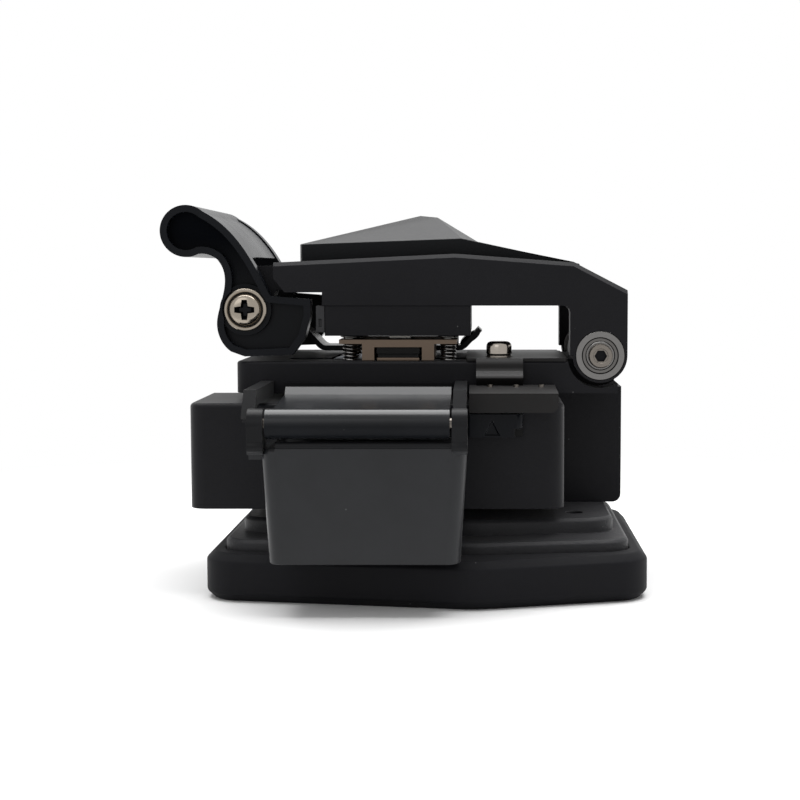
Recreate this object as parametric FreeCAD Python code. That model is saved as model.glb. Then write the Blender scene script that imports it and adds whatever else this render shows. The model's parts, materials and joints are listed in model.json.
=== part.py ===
import FreeCAD, Part
import math
import os

# Fibre cleaver: a bench tool that scores an optical fibre with a wheel and breaks it square.
#
# Frame: X runs from the thumb lever to the arm hinge, Y from the scrap-bin side to the side where
# the fibre is laid in, and Z is up. The origin is the middle of the base's underside. Millimetres.

V = FreeCAD.Vector

# ---- clearances ----
SCREW_FIT = 0.05        # radial gap round every screw shank and pressed pin
RUNNING_FIT = 0.04      # radial gap of a shaft in its bore
POCKET_FIT = 0.15       # gap between the base plate and the boot's pocket

# ---- base: rubber boot and stepped plate ----
BASE_LENGTH = 78.8      # overall length along X
BASE_NEAR_Y = -27.7     # near side at the corners
BASE_BOW = 8.8          # how far the near side bows out past its corners
BASE_BOW_X = 8.5        # where the bow is widest
BOW_ROUND = 14.0        # radius that blends the two halves of the bow
BASE_CORNER = 7.0       # plan radius of the boot's corners
BOOT_HEIGHT = 8.5
BOOT_FLOOR = 2.0        # rubber under the plate
BOOT_EDGE = 1.4         # radius round the boot's foot and rim
STEP1_INSET = 3.2       # lower step: inset from the boot's ends
STEP1_NEAR = 2.9        # lower step: inset from the boot's near corners
STEP1_FAR = 3.0         # lower step: inset from the boot's far side
STEP1_BOW = 4.2
STEP1_RISE = 2.0        # lower step above the boot's rim
STEP2_INSET = 2.2       # upper step: inset from the lower one at the ends
STEP2_NEAR = 7.3
STEP2_FAR = 1.6
STEP2_BOW = 3.4
STEP2_RISE = 2.8
STEP_CORNER = 5.5
STEP_EDGE = 0.6
BENCH_HOLE_SPACING = 54.0   # two plain holes that bolt the base to a bench
BENCH_HOLE_Y = -10.8
BENCH_HOLE_R = 1.6

# ---- main frame ----
FRAME_FRONT_X = -33.0
FRAME_BACK_X = 36.8
FRAME_NEAR_Y = 2.5
FRAME_SETBACK = 2.5     # far face behind the far side of the deck
FRAME_CORNER = 1.6
FRAME_POCKET_DEPTH = 8.0
FRAME_POCKET_WALL = 5.0

# ---- blade slider and its rail ----
SLIDER_FRONT_X = -42.4
SLIDER_BACK_X = 24.6
SLIDER_NEAR_Y = -23.0
SLIDER_GAP = 2.4        # air between the base plate and the slider
SLIDER_HEIGHT = 18.9
SLIDER_CORNER = 3.0
SLIDER_EDGE = 0.8
SLIDER_FRAME_GAP = 0.5
RAIL_DEPTH = 4.5        # how far the dovetail rail stands off the frame
RAIL_NECK = 6.0         # rail height where it meets the frame
RAIL_HEAD = 9.2         # rail height at its wide face
RAIL_FIT = 0.08
RAIL_ROOM = 0.3         # gap in front of the rail's wide face
RAIL_FRONT_X = -31.0
RAIL_BACK_X = 24.0
RAIL_ABOVE_BASE = 11.5  # rail centre line above the base plate

# ---- deck ----
DECK_GAP = 1.2          # air between the slider and the deck
DECK_THICKNESS = 5.8
SIDE_NEAR_Y = -15.0     # near face shared by the deck, arm and lever
BODY_WIDTH = 44.0       # width shared by the deck, arm and lever
DECK_FRONT_X = -35.1
DECK_BACK_X = 34.6
DECK_CORNER = 3.0
DECK_EDGE = 0.5

# ---- cutting line ----
FIBRE_X = -5.5          # the fibre lies along Y here
FIBRE_ABOVE_DECK = 1.2  # top of the lower pads
BLADE_Y = -5.0          # plane of the cutting wheel
BLADE_X = -13.6         # wheel axis with the slider pulled out
SLIDER_TRAVEL = 15.0
WHEEL_R = 11.0
WHEEL_THICKNESS = 0.8
WHEEL_BEVEL = 0.3
WHEEL_BITE = 0.05       # wheel's crown above the underside of the fibre
WHEEL_ROOM = 0.5        # gap round the wheel in its slots
DECK_SLOT_ROOM = 1.7    # gap round the wheel in the deck
HUB_R = 2.0
HUB_FLANGE_R = 3.2
HUB_FLANGE = 1.6
HUB_RECESS_ROOM = 0.2
HUB_NUT = 1.2
HUB_WALL = 0.7          # metal left round the hub's bore
HUB_END_Y = -19.0       # near end of the hub, reached with a hex key
HEX_KEY = 2.0           # across flats
HEX_DEPTH = 1.6
TAB_FRONT_X = 7.4       # index tab on the slider's near face
TAB_BACK_X = 17.1
TAB_DEPTH = 3.0
TAB_HEIGHT = 4.2
TAB_DROP = 1.6          # tab's top below the slider's top
TAB_ROUND = 1.2
TAB_MARK = 2.6          # height of the triangular mark
TAB_MARK_DEPTH = 0.4
TAB_MARK_X = 11.6

# ---- clamps ----
CLAMP_WIDTH = 7.0       # along the fibre
CLAMP_HALF_GAP = 1.4    # from the blade plane to each clamp
PAD_HALF = 3.9          # half the pad's size across the fibre
PAD_THICKNESS = 0.6
PAD_FIT = 0.12          # room for the fibre between closed pads
TUNNEL_HALF = 4.35      # half the opening of the upper bracket
BRACKET_HALF = 6.6
FLANGE_HALF = 10.8
FLANGE_THICKNESS = 0.8
BRACKET_HEIGHT = 3.1    # deck to flange
BRACKET_CLEAR = 0.1
TUNNEL_HEIGHT = 2.4
HOUSING_CLEAR = 0.75    # float between flange and housing
HOUSING_HALF = 13.3
HOUSING_HEIGHT = 5.5
HOUSING_RECESS = 0.3
POST_R = 0.9            # posts the upper brackets hang on
POST_OFFSET = 9.05      # from the fibre
POST_FROM_BLADE = 4.0   # from the blade plane
POST_HEAD_R = 1.7
POST_HEAD = 1.0
CLAMP_SPRING_R = 1.85
CLAMP_SPRING_BORE_R = 2.1
CLAMP_SPRING_DEPTH = 3.4
ANVIL_HALF = 2.0
ANVIL_THICKNESS = 1.6
ANVIL_CLEAR = 0.25      # above the fibre
ANVIL_ROOT = 2.0        # let into the housing
GUARD_NEAR_Y = 9.0
GUARD_WIDTH = 10.0
GUARD_CLEAR = 0.8       # above the deck
GUARD_NOSE = 19.9       # reach of the guard either side of the fibre
GUARD_TAIL = 15.4
GUARD_SLOPE = 3.6
GUARD_THICKNESS = 1.0
GUARD_ROUND = 1.5
GUIDE_HALF = 4.0        # V-groove block where the fibre is laid in
GUIDE_NEAR_Y = 21.0
GUIDE_LENGTH = 6.5
GUIDE_HEIGHT = 2.2
GUIDE_GROOVE = 1.0
CATCH_REACH = 1.55      # catch plate ahead of the housing
CATCH_GAP = 0.95        # between the catch and the lever's foot
CATCH_HEIGHT = 4.9
CATCH_WIDTH = 3.4
LIFT_SPRING_R = 1.45
LIFT_SPRING_WIRE = 0.4
LIFT_SPRING_SEAT = 1.0  # depth of the spring's seat in the deck
SPRING_SIDES = 16
PAD_INSET = 0.2

# ---- arm ----
HINGE_X = 31.4
HINGE_ABOVE_DECK = 1.05
BEARING_R = 4.5         # 9 mm outer ring
BEARING_BORE_R = 2.0
BEARING_WIDTH = 4.0
LOBE_R = 4.95           # arm's eye round the bearing
LOBE_ROOM = 1.0         # gap between the eye and the deck's scallop
KNUCKLE_R = 4.0         # deck's block that carries the shaft
KNUCKLE_INSET = 8.0     # from each side face to the block
ARM_WALL = 4.0
ARM_ROOF = 3.0
ARM_FRONT = 5.2         # front of the side walls behind the lever's pivot
ARM_CREST = 26.4        # from the hinge to the highest point of the side walls
ARM_SHOULDER = 4.7
ARM_NOTCH = 0.4         # step over the lever's foot, ahead of the housing
ARM_WINDOW = 5.5        # from the hinge to the window's back edge
ARM_WINDOW_ROUND = 1.4
ARM_FRONT_RISE = 7.8    # heights above the wall's underside
ARM_CREST_RISE = 9.4
ARM_SHOULDER_RISE = 7.8
ARM_HEEL_RISE = 2.8
ARM_NOTCH_RISE = 2.4
ARM_NOSE = 2.0
ARM_NOSE_SLOPE = 1.25
ARM_CHAMFER = 0.7
BEARING_FIT = 0.02
HINGE_END_PLAY = 0.1
BEARING_RACE = 0.9      # width of the bearing's inner and outer races
SHIELD_DEPTH = 0.3
SPACER_R = 3.0
SPACER_GAP = 0.1
HINGE_SCREW_HEAD_R = 2.25
HINGE_SCREW_HEAD = 1.3
SOCKET_DEPTH = 0.9

# ---- faceted cover on the arm ----
COVER_INSET = 4.0       # from the arm's side faces
COVER_FRONT = 4.8       # behind the front of the side walls
COVER_BROW = 2.3        # middle of the front stands this much ahead
COVER_PEAK = 31.8
COVER_KNEE = 25.2
COVER_RIDGE_KNEE = 21.9
COVER_TAIL = 3.6
COVER_FRONT_RISE = 11.15    # heights above the wall's underside
COVER_BROW_RISE = 11.45
COVER_PEAK_RISE = 16.95
COVER_PEAK_HALF = 1.6   # half the flat at the peak
COVER_PEAK_DROP = 0.3   # fall of the flat towards the hinge
COVER_KNEE_RISE = 12.25
COVER_RIDGE_KNEE_RISE = 11.65
COVER_TAIL_RISE = 7.6
COVER_WALL = 1.4

# ---- thumb lever ----
PIVOT_ABOVE_DECK = 9.4
LEVER_CHEEK = 3.6
LEVER_RIM = 1.25
LEVER_POCKET = 2.0
LEVER_BOSS_R = 4.7
LEVER_BOSS_SINK = 0.8   # boss face below the cheek's rim
LEVER_SHAFT_R = 2.0
LEVER_SCREW_R = 2.85
LEVER_SCREW_FLANGE_R = 3.85
LEVER_SCREW_FLANGE = 0.6
LEVER_SCREW_ROOM = 0.25
LEVER_SCREW_HEAD = 0.9
LOBE_REACH = 10.56      # thumb roll ahead of the pivot
LOBE_RISE = 14.23       # thumb roll above the pivot
THUMB_R = 4.7
LEVER_WEB = 1.7
LEVER_FOOT_REACH = 11.9
LEVER_WEB_SINK = 0.2    # web's face behind the cheeks' edge
LEVER_END_PLAY = 0.1
LUG_R = 3.7
LUG_WIDTH = 5.0
LUG_GAP = 0.6
TONGUE_REACH = 3.4
TONGUE_LOW = 2.75       # tongue's edges above the wall's underside
TONGUE_HIGH = 7.2
TONGUE_BACK = 4.0
LEVER_SPRING_R = 3.5
LEVER_SPRING_LENGTH = 7.0
# lever outline from its pivot: the thumb side, the foot, and the front side
LEVER_THUMB_SIDE = [(-9.04, 18.43), (-4.5, 15.85), (-0.8, 12.0), (2.04, 7.5), (4.6, 2.5)]
LEVER_FOOT = [(4.6, 2.5), (LEVER_FOOT_REACH, 1.9), (LEVER_FOOT_REACH, -1.2), (10.9, -5.0)]
LEVER_FOOT += [(8.6, -8.2), (-0.1, -8.5), (-2.6, -7.6)]
LEVER_FRONT_SIDE = [(-2.6, -7.6), (-4.4, -5.5), (-5.1, -2.6), (-4.5, 0.6), (-3.6, 6.1), (-4.9, 9.1)]
LEVER_NECK = [(-4.9, 9.1), (-7.0, 10.1), (-9.8, 9.6)]
LEVER_WEB_LOW = 9.6     # web's lower edge above the pivot

# ---- scrap collector ----
BIN_FRONT_X = -27.1
BIN_BACK_X = 7.4
BIN_NEAR_Y = -42.0
BIN_DEPTH = 18.2
BIN_BOTTOM = 9.1
BIN_RIM = 28.6
BIN_WALL = 1.2
BIN_DRAFT = 1.2         # taper of the end walls from rim to floor
BIN_BACK_DRAFT = 6.0    # slope of the wall next to the base
BIN_CORNER = 2.6
EAR_THICKNESS = 2.6
EAR_OVERHANG = 2.1      # front ear stands outside the bin
LID_AXIS_Y = -40.0
LID_AXIS_Z = 32.6
LID_KNUCKLE_R = 2.6
LID_SHAFT_R = 1.0
LID_SIDE_GAP = 0.35
LID_REACH = 15.4
LID_THICKNESS = 1.3
LID_SLOPE = 1.1
BIN_BEAD_R = 0.75
EAR_FOOT_R = 1.3
HANGER_PIN_R = 0.6
HANGER_PIN_LENGTH = 5.0
HANGER_PIN_ROOT = 3.0
HANGER_PIN_RISE = 1.0   # pins above the deck's underside
HANGER_WIDTH = 2.2
HANGER_HEIGHT = 2.6
SHOULDER_GAP = 0.1
STRIP_FRONT_X = -26.0
STRIP_HEIGHT = 0.9

# ---- collector bracket ----
SHEET = 0.6             # sheet-metal thickness
PLATE_FRONT_X = 7.0
PLATE_BACK_X = 25.4
PLATE_DEPTH = 29.0
CLIP_FRONT_X = 8.8
CLIP_BACK_X = 17.3
CLIP_BULGE = 3.0
SHELF_REACH = 14.0
SHELF_FRONT_X = 7.6
SHELF_BACK_X = 23.1
SHELF_DROP = 3.3
SHELF_ROUND = 1.3
SHELF_ABOVE_DECK_FOOT = 1.0
SHELF_TILT = 0.5
PLATE_CORNER = 2.0
LOCATING_PIN_R = 2.33
LOCATING_PIN_RISE = 2.95
LOCATING_PIN_X = 13.0
LOCATING_PIN_Y = -11.0
LOCATING_PIN_ROOT = 3.0
SHELF_PIN_R = 0.5
SHELF_PIN_RISE = 0.9
SHELF_PIN_X = [11.3, 16.0, 20.5]
SHELF_PIN_Y = -19.0

# ---- fastenings ----
SCREW_R = 1.25          # M2.5
SCREW_HEAD_R = 2.3
SCREW_LENGTH = 8.0
SLOT_HALF = 0.25        # half the width of a screwdriver slot
SLOT_DEPTH = 0.4

# ---- worked-out levels and faces ----
STEP1_Z = BOOT_HEIGHT + STEP1_RISE
BASE_TOP = STEP1_Z + STEP2_RISE
SLIDER_Z0 = BASE_TOP + SLIDER_GAP
SLIDER_Z1 = SLIDER_Z0 + SLIDER_HEIGHT
DECK_Z0 = SLIDER_Z1 + DECK_GAP
DECK_Z1 = DECK_Z0 + DECK_THICKNESS
SIDE_FAR_Y = SIDE_NEAR_Y + BODY_WIDTH
BASE_FAR_Y = SIDE_FAR_Y
FRAME_FAR_Y = SIDE_FAR_Y - FRAME_SETBACK
MID_Y = SIDE_NEAR_Y + BODY_WIDTH / 2
FIBRE_Z = DECK_Z1 + FIBRE_ABOVE_DECK
WHEEL_Z = FIBRE_Z + WHEEL_BITE - WHEEL_R
FLANGE_Z0 = DECK_Z1 + BRACKET_HEIGHT
FLANGE_Z1 = FLANGE_Z0 + FLANGE_THICKNESS
HOUSING_Z0 = FLANGE_Z1 + HOUSING_CLEAR
HOUSING_Z1 = HOUSING_Z0 + HOUSING_HEIGHT
HINGE_Z = DECK_Z1 + HINGE_ABOVE_DECK
HOUSING_X0 = FIBRE_X - HOUSING_HALF
HOUSING_X1 = FIBRE_X + HOUSING_HALF
PIVOT_X = HOUSING_X0 - CATCH_REACH - CATCH_GAP - LEVER_FOOT_REACH
PIVOT_Z = DECK_Z1 + PIVOT_ABOVE_DECK
ARM_FRONT_X = PIVOT_X + ARM_FRONT
ARM_BACK_X = HINGE_X + LOBE_R
RAIL_Z = BASE_TOP + RAIL_ABOVE_BASE
SLIDER_FAR_Y = FRAME_NEAR_Y - SLIDER_FRAME_GAP
CLAMP_NEAR_Y = BLADE_Y - CLAMP_HALF_GAP - CLAMP_WIDTH
CLAMP_FAR_Y = BLADE_Y + CLAMP_HALF_GAP
BIN_FAR_Y = BIN_NEAR_Y + BIN_DEPTH


# ---- helpers ----
def box(x0, x1, y0, y1, z0, z1):
    return Part.makeBox(x1 - x0, y1 - y0, z1 - z0, V(x0, y0, z0))


def rod_x(y, z, radius, x0, x1):
    return Part.makeCylinder(radius, x1 - x0, V(x0, y, z), V(1, 0, 0))


def rod_y(x, z, radius, y0, y1):
    return Part.makeCylinder(radius, y1 - y0, V(x, y0, z), V(0, 1, 0))


def rod_z(x, y, radius, z0, z1):
    return Part.makeCylinder(radius, z1 - z0, V(x, y, z0), V(0, 0, 1))


def joined(shapes):
    """One solid from shapes that overlap or meet."""
    whole = shapes[0].fuse(shapes[1:])
    return whole.removeSplitter()


def rounded_wire(points, radii, place):
    """Closed outline through 2-D points, each corner rounded by its radius."""
    count = len(points)
    edges = []
    starts = []
    for i in range(count):
        corner = FreeCAD.Vector(points[i][0], points[i][1], 0)
        before = FreeCAD.Vector(points[i - 1][0], points[i - 1][1], 0).sub(corner)
        after = FreeCAD.Vector(points[(i + 1) % count][0], points[(i + 1) % count][1], 0).sub(corner)
        before.normalize()
        after.normalize()
        half = before.getAngle(after) / 2
        if radii[i] == 0:
            starts.append((corner, corner, None))
            continue
        back = radii[i] / math.tan(half)
        centre_line = before.add(after)
        centre_line.normalize()
        centre = corner.add(centre_line.multiply(radii[i] / math.sin(half)))
        to_corner = corner.sub(centre)
        to_corner.normalize()
        middle = centre.add(to_corner.multiply(radii[i]))
        starts.append((corner.add(before.multiply(back)), corner.add(after.multiply(back)), middle))
    for i in range(count):
        enter, leave, middle = starts[i]
        following = starts[(i + 1) % count][0]
        if middle is not None:
            edges.append(Part.Arc(place(enter), place(middle), place(leave)).toShape())
        if leave.sub(following).Length > 1e-6:
            edges.append(Part.LineSegment(place(leave), place(following)).toShape())
    return Part.Wire(edges)


def in_xy(z):
    return lambda p: V(p.x, p.y, z)


def in_xz(y):
    return lambda p: V(p.x, y, p.y)


def in_yz(x):
    return lambda p: V(x, p.x, p.y)


def slab_z(points, radii, z0, z1):
    return Part.Face(rounded_wire(points, radii, in_xy(z0))).extrude(V(0, 0, z1 - z0))


def slab_y(points, radii, y0, y1):
    return Part.Face(rounded_wire(points, radii, in_xz(y0))).extrude(V(0, y1 - y0, 0))


def slab_x(points, radii, x0, x1):
    return Part.Face(rounded_wire(points, radii, in_yz(x0))).extrude(V(x1 - x0, 0, 0))


def rectangle(a0, a1, b0, b1):
    return [(a0, b0), (a1, b0), (a1, b1), (a0, b1)]


def edges_where(shape, test):
    """Edges whose every vertex and middle pass the test."""
    picked = []
    for edge in shape.Edges:
        middle = edge.valueAt((edge.FirstParameter + edge.LastParameter) / 2)
        places = [v.Point for v in edge.Vertexes] + [middle]
        if all(test(p) for p in places):
            picked.append(edge)
    return picked


def near(a, b):
    return abs(a - b) < 1e-4


def both_sides(make, near_y, far_y):
    """The same piece at the near side and, mirrored, at the far side."""
    first = make(near_y)
    second = first.mirror(V(0, (near_y + far_y) / 2, 0), V(0, 1, 0))
    return [first, second]


def polygon_rod(radius, z0, z1):
    """Many-sided rod standing on z0, its corners on the radius."""
    corners = []
    for i in range(SPRING_SIDES + 1):
        angle = 2 * math.pi * i / SPRING_SIDES
        corners.append(V(radius * math.cos(angle), radius * math.sin(angle), z0))
    return Part.Face(Part.makePolygon(corners)).extrude(V(0, 0, z1 - z0))


def spring_sleeve(radius, wire, length):
    """Coil spring as the sleeve that its coils fill, standing on the XY plane."""
    return polygon_rod(radius, 0, length).cut(polygon_rod(radius - wire, 0, length))


def turned(shape, place, direction):
    """A piece drawn head-up on +Z, moved so that its head faces the direction."""
    moved = shape.copy()
    moved.Placement = FreeCAD.Placement(place, FreeCAD.Rotation(V(0, 0, 1), direction))
    return moved


def flat_screw(length):
    """Countersunk screw, head up, its top face on z = 0."""
    cone_height = SCREW_HEAD_R - SCREW_R
    head = Part.makeCone(SCREW_R, SCREW_HEAD_R, cone_height, V(0, 0, -cone_height), V(0, 0, 1))
    shank = rod_z(0, 0, SCREW_R, -length, -cone_height)
    slot = box(-SCREW_HEAD_R, SCREW_HEAD_R, -SLOT_HALF, SLOT_HALF, -SLOT_DEPTH, SLOT_DEPTH)
    return joined([head, shank]).cut(slot)


def screw_hole(length):
    """The hole that a flat_screw sits in."""
    wide = SCREW_HEAD_R + SCREW_FIT
    narrow = SCREW_R + SCREW_FIT
    cone = Part.makeCone(narrow, wide, wide - narrow, V(0, 0, narrow - wide), V(0, 0, 1))
    mouth = rod_z(0, 0, wide, 0, 1)
    return joined([cone, mouth, rod_z(0, 0, narrow, -length - SCREW_FIT, narrow - wide)])


def hexagon(across, z0, z1):
    """Hexagonal prism on the Z axis."""
    corner = across / math.sqrt(3)
    angles = [math.radians(60 * i) for i in range(6)]
    points = [(corner * math.cos(a), corner * math.sin(a)) for a in angles]
    return slab_z(points, [0] * 6, z0, z1)


def sheet_path(points, thickness):
    """Closed outline of a bent strip: the path and its copy one thickness to the left."""
    shifted = []
    for i, point in enumerate(points):
        normals = []
        for a, b in [(i - 1, i), (i, i + 1)]:
            if a < 0 or b >= len(points):
                continue
            run = math.hypot(points[b][0] - points[a][0], points[b][1] - points[a][1])
            normals.append(((points[a][1] - points[b][1]) / run, (points[b][0] - points[a][0]) / run))
        nx = sum(n[0] for n in normals)
        ny = sum(n[1] for n in normals)
        stretch = len(normals) * thickness / (nx * nx + ny * ny) if len(normals) == 1 else 0
        if len(normals) == 2:
            stretch = 2 * thickness / (nx * nx + ny * ny)
        shifted.append((point[0] + nx * stretch, point[1] + ny * stretch))
    return points + shifted[::-1]


def spline(points, place):
    curve = Part.BSplineCurve()
    curve.interpolate([place(V(p[0], p[1], 0)) for p in points])
    return curve.toShape()


# ---- base ----
def base_outline(end, near_corner, far, bow, corner, grow):
    """Plan of the base at one level, grown outwards by the given amount."""
    half = end + grow
    points = [(-half, near_corner - grow), (BASE_BOW_X, near_corner - bow - grow)]
    points += [(half, near_corner - grow), (half, far + grow), (-half, far + grow)]
    return points, [corner, BOW_ROUND, corner, corner, corner]


def step1_outline(grow):
    end = BASE_LENGTH / 2 - STEP1_INSET
    near_corner = BASE_NEAR_Y + STEP1_NEAR
    return base_outline(end, near_corner, BASE_FAR_Y - STEP1_FAR, STEP1_BOW, STEP_CORNER, grow)


def step2_outline():
    end = BASE_LENGTH / 2 - STEP1_INSET - STEP2_INSET
    near_corner = BASE_NEAR_Y + STEP1_NEAR + STEP2_NEAR
    far = BASE_FAR_Y - STEP1_FAR - STEP2_FAR
    return base_outline(end, near_corner, far, STEP2_BOW, STEP_CORNER, 0)


def bench_holes(z0, z1):
    half = BENCH_HOLE_SPACING / 2
    return [rod_z(x, BENCH_HOLE_Y, BENCH_HOLE_R, z0, z1) for x in (-half, half)]


def frame_screw_places():
    y = (FRAME_NEAR_Y + FRAME_FAR_Y) / 2
    x = BASE_LENGTH / 4
    return [V(-x, y, BOOT_FLOOR), V(0, y, BOOT_FLOOR), V(x, y, BOOT_FLOOR)]


def make_base_boot():
    points, radii = base_outline(BASE_LENGTH / 2, BASE_NEAR_Y, BASE_FAR_Y, BASE_BOW, BASE_CORNER, 0)
    boot = slab_z(points, radii, 0, BOOT_HEIGHT)
    rims = edges_where(boot, lambda p: near(p.z, 0) or near(p.z, BOOT_HEIGHT))
    boot = boot.makeChamfer(BOOT_EDGE, rims)
    points, radii = step1_outline(POCKET_FIT)
    pocket = slab_z(points, radii, BOOT_FLOOR, BOOT_HEIGHT + 1)
    return boot.cut(pocket).cut(bench_holes(0, BOOT_FLOOR))


def make_base_plate():
    points, radii = step1_outline(0)
    lower = slab_z(points, radii, BOOT_FLOOR, STEP1_Z)
    lower = lower.makeChamfer(STEP_EDGE, edges_where(lower, lambda p: near(p.z, STEP1_Z)))
    points, radii = step2_outline()
    upper = slab_z(points, radii, BOOT_FLOOR, BASE_TOP)
    upper = upper.makeChamfer(STEP_EDGE, edges_where(upper, lambda p: near(p.z, BASE_TOP)))
    plate = joined([lower, upper]).cut(bench_holes(BOOT_FLOOR, BASE_TOP))
    for place in frame_screw_places():
        plate = plate.cut(turned(screw_hole(BASE_TOP), place, V(0, 0, -1)))
    return plate


def make_frame_screws():
    length = BASE_TOP - BOOT_FLOOR + SCREW_LENGTH / 2
    screws = [turned(flat_screw(length), p, V(0, 0, -1)) for p in frame_screw_places()]
    return Part.makeCompound(screws)


# ---- main frame and guide rail ----
def deck_screw_places():
    y = FRAME_FAR_Y - FRAME_POCKET_WALL
    return [V(FRAME_FRONT_X + SCREW_LENGTH, y, DECK_Z1), V(HINGE_X - SCREW_LENGTH, y, DECK_Z1)]


def rail_screw_places():
    y = FRAME_NEAR_Y - RAIL_DEPTH
    span = (RAIL_BACK_X - RAIL_FRONT_X) / 3
    middle = (RAIL_BACK_X + RAIL_FRONT_X) / 2
    return [V(middle - span, y, RAIL_Z), V(middle, y, RAIL_Z), V(middle + span, y, RAIL_Z)]


def make_main_frame():
    points = rectangle(FRAME_FRONT_X, FRAME_BACK_X, BASE_TOP, DECK_Z0)
    radii = [FRAME_CORNER, FRAME_CORNER, 0, 0]
    frame = slab_y(points, radii, FRAME_NEAR_Y, FRAME_FAR_Y)
    middle = (FRAME_FRONT_X + FRAME_BACK_X) / 2
    z0 = BASE_TOP + FRAME_POCKET_WALL
    z1 = DECK_Z0 - FRAME_POCKET_WALL
    y0 = FRAME_FAR_Y - FRAME_POCKET_DEPTH
    rib = FRAME_POCKET_WALL / 2
    for x0, x1 in [(FRAME_FRONT_X + FRAME_POCKET_WALL, middle - rib),
                   (middle + rib, FRAME_BACK_X - FRAME_POCKET_WALL)]:
        corners = [FRAME_CORNER] * 4
        frame = frame.cut(slab_y(rectangle(x0, x1, z0, z1), corners, y0, FRAME_FAR_Y + 1))
    depth = DECK_THICKNESS + SCREW_LENGTH / 2
    for place in deck_screw_places():
        frame = frame.cut(turned(screw_hole(depth), place, V(0, 0, 1)))
    for place in rail_screw_places():
        frame = frame.cut(turned(screw_hole(SCREW_LENGTH + RAIL_DEPTH), place, V(0, -1, 0)))
    depth = BASE_TOP - BOOT_FLOOR + SCREW_LENGTH / 2
    for place in frame_screw_places():
        frame = frame.cut(turned(screw_hole(depth), place, V(0, 0, -1)))
    return frame


def dovetail(y_face, y_head, neck, head, x0, x1):
    """Dovetail bar along X, narrow at y_face and wide at y_head."""
    points = [(y_face, RAIL_Z - neck / 2), (y_face, RAIL_Z + neck / 2)]
    points += [(y_head, RAIL_Z + head / 2), (y_head, RAIL_Z - head / 2)]
    return slab_x(points, [0] * 4, x0, x1)


def make_guide_rail():
    head_y = FRAME_NEAR_Y - RAIL_DEPTH
    rail = dovetail(FRAME_NEAR_Y, head_y, RAIL_NECK, RAIL_HEAD, RAIL_FRONT_X, RAIL_BACK_X)
    for place in rail_screw_places():
        rail = rail.cut(turned(screw_hole(SCREW_LENGTH + RAIL_DEPTH), place, V(0, -1, 0)))
    return rail


def make_rail_screws():
    length = SCREW_LENGTH + RAIL_DEPTH
    return Part.makeCompound([turned(flat_screw(length), p, V(0, -1, 0)) for p in rail_screw_places()])


# ---- deck ----
def wheel_path(radius, y0, y1):
    """Space that a disc on the wheel's axis sweeps as the slider travels."""
    end_x = BLADE_X + SLIDER_TRAVEL
    ends = [rod_y(x, WHEEL_Z, radius, y0, y1) for x in (BLADE_X, end_x)]
    return joined(ends + [box(BLADE_X, end_x, y0, y1, WHEEL_Z - radius, WHEEL_Z + radius)])


def post_places():
    """Plan positions of the four posts and the four lift springs under them."""
    ys = [BLADE_Y - POST_FROM_BLADE, BLADE_Y + POST_FROM_BLADE]
    return [(FIBRE_X + side * POST_OFFSET, y) for y in ys for side in (-1, 1)]


def hanger_pin_places():
    front = BIN_FRONT_X - EAR_OVERHANG
    back = BIN_BACK_X - EAR_THICKNESS / 2
    return [(front, DECK_Z0 + HANGER_PIN_RISE), (back, DECK_Z0 + HANGER_PIN_RISE)]


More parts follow.
